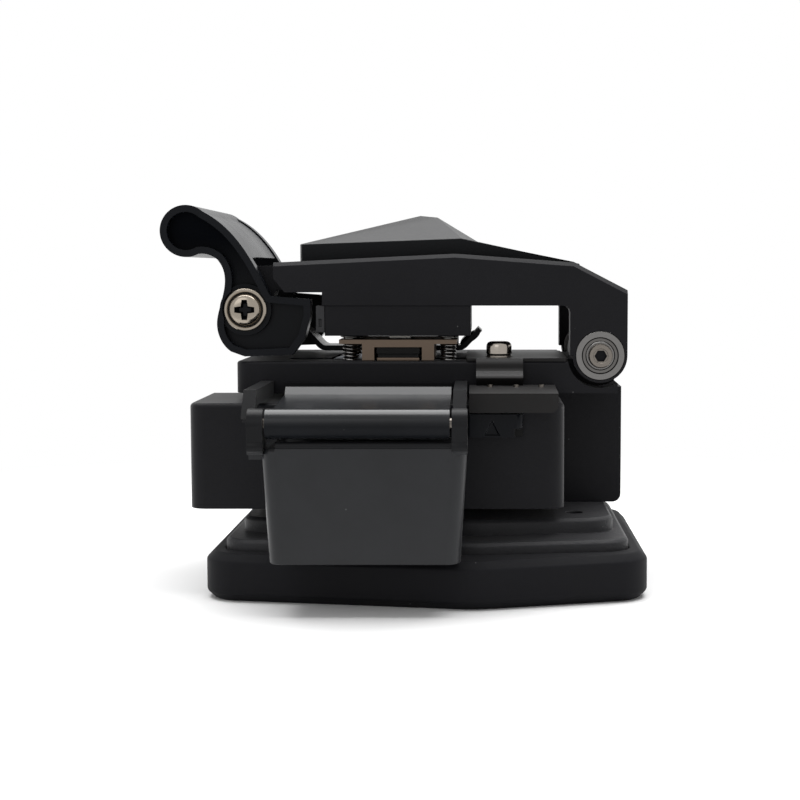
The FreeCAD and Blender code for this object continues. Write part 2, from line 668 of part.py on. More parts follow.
def make_deck_plate():
    points = rectangle(DECK_FRONT_X, DECK_BACK_X, SIDE_NEAR_Y, SIDE_FAR_Y)
    deck = slab_z(points, [DECK_CORNER, 0, 0, DECK_CORNER], DECK_Z0, DECK_Z1)
    top = edges_where(deck, lambda p: near(p.z, DECK_Z1) and p.x < DECK_FRONT_X + DECK_CORNER + 1e-3)
    deck = deck.makeFillet(DECK_EDGE, top)
    knuckle_y0 = SIDE_NEAR_Y + KNUCKLE_INSET
    knuckle_y1 = SIDE_FAR_Y - KNUCKLE_INSET
    room = LOBE_R + LOBE_ROOM
    deck = deck.cut(rod_y(HINGE_X, HINGE_Z, room, SIDE_NEAR_Y - 1, knuckle_y0))
    deck = deck.cut(rod_y(HINGE_X, HINGE_Z, room, knuckle_y1, SIDE_FAR_Y + 1))
    knuckle = rod_y(HINGE_X, HINGE_Z, KNUCKLE_R, knuckle_y0, knuckle_y1)
    web_x0 = HINGE_X - KNUCKLE_R
    web = box(web_x0, DECK_BACK_X, knuckle_y0, knuckle_y1, DECK_Z0, HINGE_Z)
    deck = joined([deck, knuckle, web])
    deck = deck.cut(rod_y(HINGE_X, HINGE_Z, BEARING_BORE_R + SCREW_FIT, knuckle_y0, knuckle_y1))
    half = WHEEL_THICKNESS / 2
    reach = WHEEL_R + DECK_SLOT_ROOM
    side = half + DECK_SLOT_ROOM
    slot_x1 = BLADE_X + SLIDER_TRAVEL + reach
    slot = box(BLADE_X - reach, slot_x1, BLADE_Y - side, BLADE_Y + side, DECK_Z0 - 1, DECK_Z1 + 1)
    deck = deck.cut(slot)
    hub_y0 = BLADE_Y - half - HUB_FLANGE - HUB_RECESS_ROOM
    hub_y1 = BLADE_Y + half + HUB_NUT + HUB_RECESS_ROOM
    deck = deck.cut(wheel_path(HUB_FLANGE_R + HUB_RECESS_ROOM, hub_y0, hub_y1))
    seat = LIFT_SPRING_R + SCREW_FIT
    for x, y in post_places():
        deck = deck.cut(rod_z(x, y, seat, DECK_Z1 - LIFT_SPRING_SEAT, DECK_Z1 + 1))
    for place in deck_screw_places():
        deck = deck.cut(turned(screw_hole(DECK_THICKNESS + 1), place, V(0, 0, 1)))
    pin_r = LOCATING_PIN_R + SCREW_FIT
    z0 = DECK_Z1 - LOCATING_PIN_ROOT
    deck = deck.cut(rod_z(LOCATING_PIN_X, LOCATING_PIN_Y, pin_r, z0, DECK_Z1 + 1))
    for x, z in hanger_pin_places():
        y0 = SIDE_NEAR_Y - 1
        deck = deck.cut(rod_y(x, z, HANGER_PIN_R + SCREW_FIT, y0, SIDE_NEAR_Y + HANGER_PIN_ROOT))
    return deck


def make_deck_screws():
    length = DECK_THICKNESS + SCREW_LENGTH / 2
    return Part.makeCompound([turned(flat_screw(length), p, V(0, 0, 1)) for p in deck_screw_places()])


def make_hinge_shaft():
    y0 = SIDE_NEAR_Y - HINGE_END_PLAY
    y1 = SIDE_FAR_Y + HINGE_END_PLAY
    shaft = rod_y(HINGE_X, HINGE_Z, BEARING_BORE_R, y0, y1)
    bore = SCREW_R + SCREW_FIT
    shaft = shaft.cut(rod_y(HINGE_X, HINGE_Z, bore, y0, y0 + SCREW_LENGTH))
    return shaft.cut(rod_y(HINGE_X, HINGE_Z, bore, y1 - SCREW_LENGTH, y1))


def cap_screw(length):
    """Socket-head screw, head up, the underside of the head on z = 0."""
    head = rod_z(0, 0, HINGE_SCREW_HEAD_R, 0, HINGE_SCREW_HEAD)
    socket = hexagon(HEX_KEY, HINGE_SCREW_HEAD - SOCKET_DEPTH, HINGE_SCREW_HEAD + 1)
    return joined([head, rod_z(0, 0, SCREW_R, -length, 0)]).cut(socket)


def make_hinge_screws():
    length = SCREW_LENGTH - 1
    y0 = SIDE_NEAR_Y - HINGE_END_PLAY
    y1 = SIDE_FAR_Y + HINGE_END_PLAY
    near_one = turned(cap_screw(length), V(HINGE_X, y0, HINGE_Z), V(0, -1, 0))
    far_one = turned(cap_screw(length), V(HINGE_X, y1, HINGE_Z), V(0, 1, 0))
    return Part.makeCompound([near_one, far_one])


def make_hinge_spacers():
    y0 = SIDE_NEAR_Y + ARM_WALL + SPACER_GAP
    y1 = SIDE_NEAR_Y + KNUCKLE_INSET

    def ring(_):
        outer = rod_y(HINGE_X, HINGE_Z, SPACER_R, y0, y1)
        return outer.cut(rod_y(HINGE_X, HINGE_Z, BEARING_BORE_R + SCREW_FIT, y0, y1))
    return Part.makeCompound(both_sides(ring, SIDE_NEAR_Y, SIDE_FAR_Y))


def make_lift_springs():
    z0 = DECK_Z1 - LIFT_SPRING_SEAT
    springs = []
    for x, y in post_places():
        coil = spring_sleeve(LIFT_SPRING_R, LIFT_SPRING_WIRE, FLANGE_Z0 - z0)
        coil.translate(V(x, y, z0))
        springs.append(coil)
    return Part.makeCompound(springs)


def clamp_spans():
    return [(CLAMP_NEAR_Y, CLAMP_NEAR_Y + CLAMP_WIDTH), (CLAMP_FAR_Y, CLAMP_FAR_Y + CLAMP_WIDTH)]


def make_lower_clamps():
    blocks = []
    for y0, y1 in clamp_spans():
        x0 = FIBRE_X - PAD_HALF
        x1 = FIBRE_X + PAD_HALF
        z1 = FIBRE_Z - PAD_THICKNESS
        block = box(x0, x1, y0 + PAD_INSET, y1 - PAD_INSET, DECK_Z1, z1)
        blocks.append(block)
    return Part.makeCompound(blocks)


def make_lower_pads():
    pads = []
    for y0, y1 in clamp_spans():
        x0 = FIBRE_X - PAD_HALF + PAD_INSET
        x1 = FIBRE_X + PAD_HALF - PAD_INSET
        z0 = FIBRE_Z - PAD_THICKNESS
        pads.append(box(x0, x1, y0 + 2 * PAD_INSET, y1 - 2 * PAD_INSET, z0, FIBRE_Z))
    return Part.makeCompound(pads)


def make_fibre_guide():
    x0 = FIBRE_X - GUIDE_HALF
    x1 = FIBRE_X + GUIDE_HALF
    y1 = GUIDE_NEAR_Y + GUIDE_LENGTH
    z1 = DECK_Z1 + GUIDE_HEIGHT
    block = box(x0, x1, GUIDE_NEAR_Y, y1, DECK_Z1, z1)
    top = z1 + GUIDE_GROOVE
    groove = [(FIBRE_X, z1 - GUIDE_GROOVE), (FIBRE_X + 2 * GUIDE_GROOVE, top)]
    groove += [(FIBRE_X - 2 * GUIDE_GROOVE, top)]
    return block.cut(slab_y(groove, [0] * 3, GUIDE_NEAR_Y - 1, y1 + 1))


# ---- collector bracket ----
def make_collector_plate():
    plate_y1 = SIDE_NEAR_Y + PLATE_DEPTH
    points = rectangle(PLATE_FRONT_X, PLATE_BACK_X, SIDE_NEAR_Y, plate_y1)
    plate = slab_z(points, [SHEET, SHEET, PLATE_CORNER, PLATE_CORNER], DECK_Z1, DECK_Z1 + SHEET)
    shelf_z = DECK_Z0 + SHELF_ABOVE_DECK_FOOT
    shelf_y = SIDE_NEAR_Y - SHELF_REACH
    roll_z = (DECK_Z1 + shelf_z) / 2 + SHEET
    back_y = SIDE_NEAR_Y - SHEET
    path = [(SIDE_NEAR_Y + 1, DECK_Z1), (SIDE_NEAR_Y - SHEET, DECK_Z1)]
    path += [(SIDE_NEAR_Y - CLIP_BULGE + SHEET, roll_z), (back_y - SHEET, shelf_z)]
    path += [(back_y, shelf_z)]
    outline = sheet_path(path[::-1], SHEET)
    radii = [0, 0, 0, 0, 0, 0, 0, 0, 0, 0]
    clip = slab_x(outline, radii, CLIP_FRONT_X, CLIP_BACK_X)
    shelf_path = [(shelf_y, shelf_z - SHELF_DROP), (shelf_y, shelf_z - SHELF_TILT), (back_y, shelf_z)]
    shelf_outline = sheet_path(shelf_path, SHEET)
    shelf = slab_x(shelf_outline, [0, SHEET, 0, 0, 0, 0], SHELF_FRONT_X, SHELF_BACK_X)
    tip_z = shelf_z - SHELF_DROP
    tip = edges_where(shelf, lambda p: near(p.x, SHELF_BACK_X) and near(p.z, tip_z))
    shelf = shelf.makeFillet(SHELF_ROUND, tip)
    bracket = joined([plate, clip, shelf])
    pin_r = LOCATING_PIN_R + SCREW_FIT
    bracket = bracket.cut(rod_z(LOCATING_PIN_X, LOCATING_PIN_Y, pin_r, DECK_Z1, DECK_Z1 + SHEET + 1))
    for x in SHELF_PIN_X:
        hole_r = SHELF_PIN_R + SCREW_FIT
        bracket = bracket.cut(rod_z(x, SHELF_PIN_Y, hole_r, shelf_z - 1, shelf_z + 1))
    return bracket


def make_shelf_pins():
    z0 = DECK_Z0 + SHELF_ABOVE_DECK_FOOT - SHEET
    z1 = DECK_Z0 + SHELF_ABOVE_DECK_FOOT + SHELF_PIN_RISE
    pins = []
    for x in SHELF_PIN_X:
        pin = rod_z(x, SHELF_PIN_Y, SHELF_PIN_R, z0, z1)
        pins.append(pin)
    return Part.makeCompound(pins)


def make_locating_pin():
    z1 = DECK_Z1 + SHEET + LOCATING_PIN_RISE
    pin = rod_z(LOCATING_PIN_X, LOCATING_PIN_Y, LOCATING_PIN_R, DECK_Z1 - LOCATING_PIN_ROOT, z1)
    return pin.makeChamfer(LOCATING_PIN_R / 2, edges_where(pin, lambda p: near(p.z, z1)))


def make_hanger_pins():
    pins = []
    for x, z in hanger_pin_places():
        y0 = SIDE_NEAR_Y - HANGER_PIN_LENGTH
        pins.append(rod_y(x, z, HANGER_PIN_R, y0, SIDE_NEAR_Y + HANGER_PIN_ROOT))
    return Part.makeCompound(pins)


def make_deck_strip():
    z0 = DECK_Z0 + HANGER_PIN_RISE
    x1 = BIN_BACK_X - EAR_THICKNESS - LID_SIDE_GAP
    return box(STRIP_FRONT_X, x1, SIDE_NEAR_Y - 1, SIDE_NEAR_Y, z0, z0 + STRIP_HEIGHT)


# ---- blade slider ----
def make_slider_block():
    points = rectangle(SLIDER_FRONT_X, SLIDER_BACK_X, SLIDER_NEAR_Y, SLIDER_FAR_Y)
    slider = slab_z(points, [SLIDER_CORNER, SLIDER_CORNER, 0, 0], SLIDER_Z0, SLIDER_Z1)
    top = edges_where(slider, lambda p: near(p.z, SLIDER_Z1) and p.y < SLIDER_FAR_Y - 1e-3)
    slider = slider.makeFillet(SLIDER_EDGE, top)
    bearing_y0 = SLIDER_NEAR_Y + SLIDER_EDGE
    bearing = rod_y(BLADE_X, WHEEL_Z, HUB_R + HUB_WALL, bearing_y0, SLIDER_FAR_Y - SLIDER_EDGE)
    slider = joined([slider, bearing])
    groove_y = FRAME_NEAR_Y - RAIL_DEPTH - RAIL_ROOM
    slope = (RAIL_HEAD - RAIL_NECK) / RAIL_DEPTH
    neck = RAIL_NECK + 2 * RAIL_FIT + slope * (FRAME_NEAR_Y - SLIDER_FAR_Y)
    head = RAIL_HEAD + 2 * RAIL_FIT + slope * RAIL_ROOM
    x0 = SLIDER_FRONT_X - 1
    slider = slider.cut(dovetail(SLIDER_FAR_Y, groove_y, neck, head, x0, SLIDER_BACK_X + 1))
    room = WHEEL_R + WHEEL_ROOM
    half = WHEEL_THICKNESS / 2 + WHEEL_ROOM
    slot = box(BLADE_X - room, BLADE_X + room, BLADE_Y - half, BLADE_Y + half, WHEEL_Z, SLIDER_Z1 + 1)
    slider = slider.cut([slot, rod_y(BLADE_X, WHEEL_Z, room, BLADE_Y - half, BLADE_Y + half)])
    recess = HUB_FLANGE_R + HUB_RECESS_ROOM
    y0 = BLADE_Y - WHEEL_THICKNESS / 2 - HUB_FLANGE - HUB_RECESS_ROOM
    y1 = BLADE_Y + WHEEL_THICKNESS / 2 + HUB_NUT + HUB_RECESS_ROOM
    slider = slider.cut(rod_y(BLADE_X, WHEEL_Z, recess, y0, y1))
    slider = slider.cut(box(BLADE_X - recess, BLADE_X + recess, y0, y1, WHEEL_Z, SLIDER_Z1 + 1))
    return slider.cut(rod_y(BLADE_X, WHEEL_Z, HUB_R + RUNNING_FIT, SLIDER_NEAR_Y - 1, y0))


def make_index_tab():
    z1 = SLIDER_Z1 - TAB_DROP
    y0 = SLIDER_NEAR_Y - TAB_DEPTH
    points = rectangle(TAB_FRONT_X, TAB_BACK_X, y0, SLIDER_NEAR_Y)
    tab = slab_z(points, [0, TAB_ROUND, 0, 0], z1 - TAB_HEIGHT, z1)
    x = TAB_MARK_X
    z = z1 - TAB_HEIGHT + TAB_MARK_DEPTH
    mark = [(x - TAB_MARK / 2, z), (x + TAB_MARK / 2, z), (x, z + TAB_MARK)]
    return tab.cut(slab_y(mark, [0] * 3, y0 - 1, y0 + TAB_MARK_DEPTH))


def make_cutting_wheel():
    half = WHEEL_THICKNESS / 2
    rim = WHEEL_R - WHEEL_BEVEL
    disc = rod_y(BLADE_X, WHEEL_Z, rim, BLADE_Y - half, BLADE_Y + half)
    cones = []
    for side in (-1, 1):
        base = V(BLADE_X, BLADE_Y, WHEEL_Z)
        cones.append(Part.makeCone(WHEEL_R, rim, half, base, V(0, side, 0)))
    wheel = joined([disc] + cones)
    return wheel.cut(rod_y(BLADE_X, WHEEL_Z, HUB_R + SCREW_FIT, BLADE_Y - 1, BLADE_Y + 1))


def make_blade_hub():
    face = BLADE_Y - WHEEL_THICKNESS / 2
    nut_face = BLADE_Y + WHEEL_THICKNESS / 2 + HUB_NUT
    pin = rod_y(BLADE_X, WHEEL_Z, HUB_R, HUB_END_Y, nut_face)
    hub = joined([pin, rod_y(BLADE_X, WHEEL_Z, HUB_FLANGE_R, face - HUB_FLANGE, face)])
    socket = turned(hexagon(HEX_KEY, -HEX_DEPTH, 1), V(BLADE_X, HUB_END_Y, WHEEL_Z), V(0, -1, 0))
    return hub.cut(socket)


def make_blade_nut():
    y0 = BLADE_Y + WHEEL_THICKNESS / 2
    nut = rod_y(BLADE_X, WHEEL_Z, HUB_FLANGE_R, y0, y0 + HUB_NUT)
    return nut.cut(rod_y(BLADE_X, WHEEL_Z, HUB_R + SCREW_FIT, y0, y0 + HUB_NUT))


# ---- arm ----
def arm_top_line(drop):
    """Top edge of the arm's side, lowered by the given amount."""
    z = HOUSING_Z1 - drop
    line = [(ARM_FRONT_X, z + ARM_FRONT_RISE), (HINGE_X - ARM_CREST, z + ARM_CREST_RISE)]
    line += [(HINGE_X - ARM_SHOULDER, z + ARM_SHOULDER_RISE), (ARM_BACK_X, z + ARM_HEEL_RISE)]
    return line


def arm_wall_outline():
    under = HOUSING_Z1
    notch_x = HOUSING_X0 - ARM_NOTCH
    notch_z = under + ARM_NOTCH_RISE
    window_x = HINGE_X - ARM_WINDOW
    points = arm_top_line(0)
    points += [(ARM_BACK_X, HINGE_Z), (window_x, HINGE_Z), (window_x, under), (notch_x, under)]
    points += [(notch_x, notch_z), (ARM_FRONT_X + ARM_NOSE, notch_z)]
    points += [(ARM_FRONT_X, notch_z + ARM_NOSE * ARM_NOSE_SLOPE)]
    return points


def lug_outline():
    """Eye round the lever's pivot, joined to the arm's front."""
    low = HOUSING_Z1 + TONGUE_LOW
    high = HOUSING_Z1 + TONGUE_HIGH
    lean = LUG_R * math.sqrt(0.5)
    points = [(PIVOT_X - lean, PIVOT_Z + lean), (PIVOT_X + lean, PIVOT_Z - lean)]
    points += [(ARM_FRONT_X, low), (ARM_FRONT_X, high), (ARM_FRONT_X - TONGUE_REACH, high)]
    return points


def make_arm_casting():
    outline = arm_wall_outline()
    window_corner = (HINGE_X - ARM_WINDOW, HOUSING_Z1)
    radii = [ARM_WINDOW_ROUND if point == window_corner else 0 for point in outline]
    eye_bore = BEARING_R + BEARING_FIT

    def wall(y):
        side = slab_y(outline, radii, y, y + ARM_WALL)
        side = joined([side, rod_y(HINGE_X, HINGE_Z, LOBE_R, y, y + ARM_WALL)])
        low = HOUSING_Z1 + ARM_HEEL_RISE - 1e-3
        edges = [e for e in edges_where(side, lambda p: near(p.y, y) and p.z > low)
                 if abs(e.Vertexes[0].X - e.Vertexes[-1].X) > 1]
        side = side.makeChamfer(ARM_CHAMFER, edges)
        return side.cut(rod_y(HINGE_X, HINGE_Z, eye_bore, y, y + ARM_WALL))
    walls = both_sides(wall, SIDE_NEAR_Y, SIDE_FAR_Y)
    roof_points = arm_top_line(0) + arm_top_line(ARM_ROOF)[::-1]
    y0 = SIDE_NEAR_Y + ARM_WALL / 2
    y1 = SIDE_FAR_Y - ARM_WALL / 2
    roof = slab_y(roof_points, [0] * len(roof_points), y0, y1)
    tongue_y0 = SIDE_NEAR_Y + LEVER_CHEEK + LUG_GAP
    tongue_y1 = SIDE_FAR_Y - LEVER_CHEEK - LUG_GAP
    low = HOUSING_Z1 + TONGUE_LOW
    high = HOUSING_Z1 + TONGUE_HIGH
    tongue_x0 = ARM_FRONT_X - TONGUE_REACH
    tongue = box(tongue_x0, ARM_FRONT_X + TONGUE_BACK, tongue_y0, tongue_y1, low, high)

    def lug(_):
        eye = rod_y(PIVOT_X, PIVOT_Z, LUG_R, tongue_y0, tongue_y0 + LUG_WIDTH)
        return joined([eye, slab_y(lug_outline(), [0] * 5, tongue_y0, tongue_y0 + LUG_WIDTH)])
    lugs = both_sides(lug, SIDE_NEAR_Y, SIDE_FAR_Y)
    casting = joined(walls + [roof, tongue] + lugs)
    return casting.cut(rod_y(PIVOT_X, PIVOT_Z, LEVER_SHAFT_R + SCREW_FIT, tongue_y0, tongue_y1))


def polyhedron(faces):
    """Solid from flat polygon faces."""
    made = []
    for face in faces:
        made.append(Part.Face(Part.makePolygon([V(*p) for p in face] + [V(*face[0])])))
    return Part.Solid(Part.makeShell(made))


def cover_block(inset):
    """Faceted block of the cover, shrunk by the inset on every side but the foot."""
    under = HOUSING_Z1 - inset
    foot = HOUSING_Z1 + ARM_NOTCH_RISE
    y = SIDE_NEAR_Y + COVER_INSET + inset
    far_y = 2 * MID_Y - y
    front = ARM_FRONT_X + COVER_FRONT + inset
    tail = HINGE_X - COVER_TAIL - inset
    knee_x = HINGE_X - COVER_KNEE
    a = (front, y, under + COVER_FRONT_RISE)
    b = (knee_x, y, under + COVER_KNEE_RISE)
    c = (tail, y, under + COVER_TAIL_RISE)
    brow = (front - COVER_BROW, MID_Y, under + COVER_BROW_RISE)
    peak_x = HINGE_X - COVER_PEAK
    peak = (peak_x - COVER_PEAK_HALF, MID_Y, under + COVER_PEAK_RISE)
    fall = (peak_x + COVER_PEAK_HALF, MID_Y, under + COVER_PEAK_RISE - COVER_PEAK_DROP)
    ridge = (HINGE_X - COVER_RIDGE_KNEE, MID_Y, under + COVER_RIDGE_KNEE_RISE)
    end = (tail, MID_Y, under + COVER_TAIL_RISE)

    def far(p):
        return (p[0], far_y, p[2])

    def down(p):
        return (p[0], p[1], foot)
    sides = []
    for turn in (lambda p: p, lambda p: far(p) if near(p[1], y) else p):
        group = [[a, brow, peak], [a, peak, fall], [a, fall, b]]
        group += [[b, fall, ridge], [b, ridge, end], [b, end, c]]
        group += [[down(a), down(c), c, b, a], [down(brow), down(a), a, brow]]
        for face in group:
            sides.append([turn(p) for p in face])
    sides.append([down(c), down(end), down(far(c)), far(c), end, c])
    sides.append([down(a), down(brow), down(far(a)), down(far(c)), down(end), down(c)])
    return polyhedron(sides)


def make_arm_cover():
    cover = cover_block(0).cut(cover_block(COVER_WALL))
    line = arm_top_line(0)
    floor = HOUSING_Z1 - 1
    body = line + [(ARM_BACK_X, floor), (ARM_FRONT_X, floor)]
    return cover.cut(slab_y(body, [0] * 6, SIDE_NEAR_Y, SIDE_FAR_Y))


def make_arm_bearings():
    rim = BEARING_R - BEARING_RACE
    hub = BEARING_BORE_R + BEARING_RACE
    end_y = SIDE_NEAR_Y + BEARING_WIDTH

    def bearing(y):
        ring = rod_y(HINGE_X, HINGE_Z, BEARING_R, y, end_y)
        ring = ring.cut(rod_y(HINGE_X, HINGE_Z, BEARING_BORE_R + RUNNING_FIT, y, end_y))
        groove_y = y + SHIELD_DEPTH
        groove = rod_y(HINGE_X, HINGE_Z, rim, y, groove_y)
        return ring.cut(groove.cut(rod_y(HINGE_X, HINGE_Z, hub, y, groove_y)))
    return Part.makeCompound(both_sides(bearing, SIDE_NEAR_Y, SIDE_FAR_Y))


# ---- clamp housing and what hangs from it ----
def make_clamp_housing():
    y0 = SIDE_NEAR_Y + HOUSING_RECESS
    points = rectangle(HOUSING_X0, HOUSING_X1, y0, SIDE_FAR_Y - HOUSING_RECESS)
    housing = slab_z(points, [HOUSING_RECESS] * 4, HOUSING_Z0, HOUSING_Z1)
    for x, y in post_places():
        housing = housing.cut(rod_z(x, y, POST_R + RUNNING_FIT, HOUSING_Z0, HOUSING_Z1))
        spring_top = HOUSING_Z0 + CLAMP_SPRING_DEPTH
        housing = housing.cut(rod_z(x, y, CLAMP_SPRING_BORE_R, HOUSING_Z0, spring_top))
    half = ANVIL_THICKNESS / 2 + SCREW_FIT
    ax0 = FIBRE_X - ANVIL_HALF - SCREW_FIT
    ax1 = FIBRE_X + ANVIL_HALF + SCREW_FIT
    z1 = HOUSING_Z0 + ANVIL_ROOT
    return housing.cut(box(ax0, ax1, BLADE_Y - half, BLADE_Y + half, HOUSING_Z0, z1))


def make_lever_catch():
    x1 = HOUSING_X0
    x0 = x1 - CATCH_REACH
    z0 = HOUSING_Z1 - CATCH_HEIGHT

    def plate(_):
        y0 = SIDE_NEAR_Y + HOUSING_RECESS
        block = box(x0, x1, y0, y0 + CATCH_WIDTH, z0, HOUSING_Z1)
        slot_z = (z0 + HOUSING_Z1) / 2
        middle = (x0 + x1) / 2
        slot = box(middle - SLOT_HALF, middle + SLOT_HALF, y0, y0 + SLOT_DEPTH, z0 + 1, slot_z)
        return block.cut(slot)
    return Part.makeCompound(both_sides(plate, SIDE_NEAR_Y, SIDE_FAR_Y))


def make_anvil():
    z0 = FIBRE_Z + ANVIL_CLEAR
    half = ANVIL_THICKNESS / 2
    x0 = FIBRE_X - ANVIL_HALF
    x1 = FIBRE_X + ANVIL_HALF
    block = box(x0, x1, BLADE_Y - half, BLADE_Y + half, z0, HOUSING_Z0 + ANVIL_ROOT)
    foot = edges_where(block, lambda p: near(p.z, z0) and (near(p.x, x0) or near(p.x, x1)))
    return block.makeFillet(half, foot)


def make_fibre_guard():
    z0 = DECK_Z1 + GUARD_CLEAR
    x0 = FIBRE_X - GUARD_NOSE
    x1 = FIBRE_X + GUARD_TAIL
    path = [(x0, HOUSING_Z0), (x0 + GUARD_SLOPE, z0), (x1 - GUARD_SLOPE, z0), (x1, HOUSING_Z0)]
    outside = GUARD_ROUND + GUARD_THICKNESS
    radii = [0, outside, outside, 0, 0, GUARD_ROUND, GUARD_ROUND, 0]
    outline = sheet_path(path, GUARD_THICKNESS)
    strip = slab_y(outline, radii, GUARD_NEAR_Y, GUARD_NEAR_Y + GUARD_WIDTH)
    middle_y = GUARD_NEAR_Y + GUARD_WIDTH / 2
    posts = []
    for side in (-1, 1):
        x = FIBRE_X + side * POST_OFFSET
        posts.append(rod_z(x, middle_y, POST_HEAD_R, z0 + GUARD_THICKNESS / 2, HOUSING_Z0))
    return joined([strip] + posts)


def make_upper_brackets():
    brackets = []
    foot = DECK_Z1 + BRACKET_CLEAR
    for y0, y1 in clamp_spans():
        flange = box(FIBRE_X - FLANGE_HALF, FIBRE_X + FLANGE_HALF, y0, y1, FLANGE_Z0, FLANGE_Z1)
        body = box(FIBRE_X - BRACKET_HALF, FIBRE_X + BRACKET_HALF, y0, y1, foot, FLANGE_Z0)
        tunnel_top = foot + TUNNEL_HEIGHT
        tunnel = box(FIBRE_X - TUNNEL_HALF, FIBRE_X + TUNNEL_HALF, y0 - 1, y1 + 1, foot - 1, tunnel_top)
        bracket = joined([flange, body]).cut(tunnel)
        for x, y in post_places():
            if y0 < y < y1:
                bracket = bracket.cut(rod_z(x, y, POST_R + SCREW_FIT, FLANGE_Z0, FLANGE_Z1))
        brackets.append(bracket)
    return Part.makeCompound(brackets)


def make_upper_pads():
    pads = []
    z1 = DECK_Z1 + BRACKET_CLEAR + TUNNEL_HEIGHT
    for y0, y1 in clamp_spans():
        x0 = FIBRE_X - PAD_HALF
        x1 = FIBRE_X + PAD_HALF
        pads.append(box(x0, x1, y0 + PAD_INSET, y1 - PAD_INSET, FIBRE_Z + PAD_FIT, z1))
    return Part.makeCompound(pads)


def make_clamp_posts():
    posts = []
    for x, y in post_places():
        stem = rod_z(x, y, POST_R, FLANGE_Z0, HOUSING_Z1 + POST_HEAD)
        head = rod_z(x, y, POST_HEAD_R, HOUSING_Z1 + RUNNING_FIT, HOUSING_Z1 + POST_HEAD)
        posts.append(joined([stem, head]))
    return Part.makeCompound(posts)


def make_clamp_springs():
    springs = []
    length = HOUSING_CLEAR + CLAMP_SPRING_DEPTH
    for x, y in post_places():
        coil = spring_sleeve(CLAMP_SPRING_R, LIFT_SPRING_WIRE, length)
        coil.translate(V(x, y, FLANGE_Z1))
        springs.append(coil)
    return Part.makeCompound(springs)


# ---- thumb lever ----
def lever_outline(y):
    place = in_xz(y)

    def at(points):
        return [(PIVOT_X + p[0], PIVOT_Z + p[1]) for p in points]
    edges = [spline(at(LEVER_THUMB_SIDE), place)]
    foot = at(LEVER_FOOT)
    for i in range(len(foot) - 1):
        edges.append(spline(foot[i:i + 2], place))
    edges.append(spline(at(LEVER_FRONT_SIDE), place))
    edges.append(spline(at(LEVER_NECK), place))
    edges.append(spline(at([LEVER_NECK[-1], LEVER_THUMB_SIDE[0]]), place))
    return Part.Face(Part.Wire(edges))


def make_thumb_lever():
    roll_x = PIVOT_X - LOBE_REACH
    roll_z = PIVOT_Z + LOBE_RISE

    def cheek(y):
        plate = lever_outline(y).extrude(V(0, LEVER_CHEEK, 0))
        plate = joined([plate, rod_y(roll_x, roll_z, THUMB_R, y, y + LEVER_CHEEK)])
        face = [f for f in plate.Faces if near(f.CenterOfMass.y, y)][0]
        inner = face.makeOffset2D(-LEVER_RIM).toNurbs()
        pocket = inner.extrude(V(0, LEVER_POCKET, 0))
        boss = rod_y(PIVOT_X, PIVOT_Z, LEVER_BOSS_R, y + LEVER_BOSS_SINK, y + LEVER_CHEEK)
        plate = joined([plate.cut(pocket), boss])
        screw_room = LEVER_SCREW_FLANGE_R + LEVER_SCREW_ROOM
        plate = plate.cut(rod_y(PIVOT_X, PIVOT_Z, screw_room, y, y + LEVER_BOSS_SINK))
        return plate.cut(rod_y(PIVOT_X, PIVOT_Z, LEVER_SHAFT_R + RUNNING_FIT, y, y + LEVER_CHEEK))
    cheeks = both_sides(cheek, SIDE_NEAR_Y, SIDE_FAR_Y)
    y0 = SIDE_NEAR_Y + LEVER_CHEEK / 2 + 1
    y1 = SIDE_FAR_Y - LEVER_CHEEK / 2 - 1
    roll = rod_y(roll_x, roll_z, THUMB_R, y0, y1)
    web = lever_outline(y0).extrude(V(0, y1 - y0, 0))
    inner = web.copy()
    web.translate(V(-LEVER_WEB_SINK, 0, -LEVER_WEB_SINK))
    inner.translate(V(-LEVER_WEB, 0, -LEVER_WEB))
    reach = LOBE_REACH + LEVER_CHEEK
    below = box(PIVOT_X - reach, PIVOT_X + reach, y0, y1, PIVOT_Z - reach, PIVOT_Z + LEVER_WEB_LOW)
    web = web.cut([inner, below])
    return roll.fuse(web).fuse(cheeks).removeSplitter()


def make_lever_shaft():
    y0 = SIDE_NEAR_Y + LEVER_BOSS_SINK - LEVER_END_PLAY
    y1 = SIDE_FAR_Y - LEVER_BOSS_SINK + LEVER_END_PLAY
    shaft = rod_y(PIVOT_X, PIVOT_Z, LEVER_SHAFT_R, y0, y1)
    bore = SCREW_R + SCREW_FIT
    shaft = shaft.cut(rod_y(PIVOT_X, PIVOT_Z, bore, y0, y0 + SCREW_LENGTH))
    return shaft.cut(rod_y(PIVOT_X, PIVOT_Z, bore, y1 - SCREW_LENGTH, y1))


def flanged_screw():
    """Cross-head screw with a washer flange, its underside on z = 0."""
    top = LEVER_SCREW_FLANGE + LEVER_SCREW_HEAD
    flange = rod_z(0, 0, LEVER_SCREW_FLANGE_R, 0, LEVER_SCREW_FLANGE)
    head = rod_z(0, 0, LEVER_SCREW_R, 0, top)
    head = head.makeChamfer(LEVER_SCREW_HEAD / 2, edges_where(head, lambda p: near(p.z, top)))
    screw = joined([flange, head, rod_z(0, 0, SCREW_R, 1 - SCREW_LENGTH, 0)])
    reach = LEVER_SCREW_R / 2
    z0 = top - LEVER_SCREW_HEAD
    cross = [box(-reach, reach, -SLOT_DEPTH, SLOT_DEPTH, z0, top + 1)]
    cross += [box(-SLOT_DEPTH, SLOT_DEPTH, -reach, reach, z0, top + 1)]
    return screw.cut(cross)


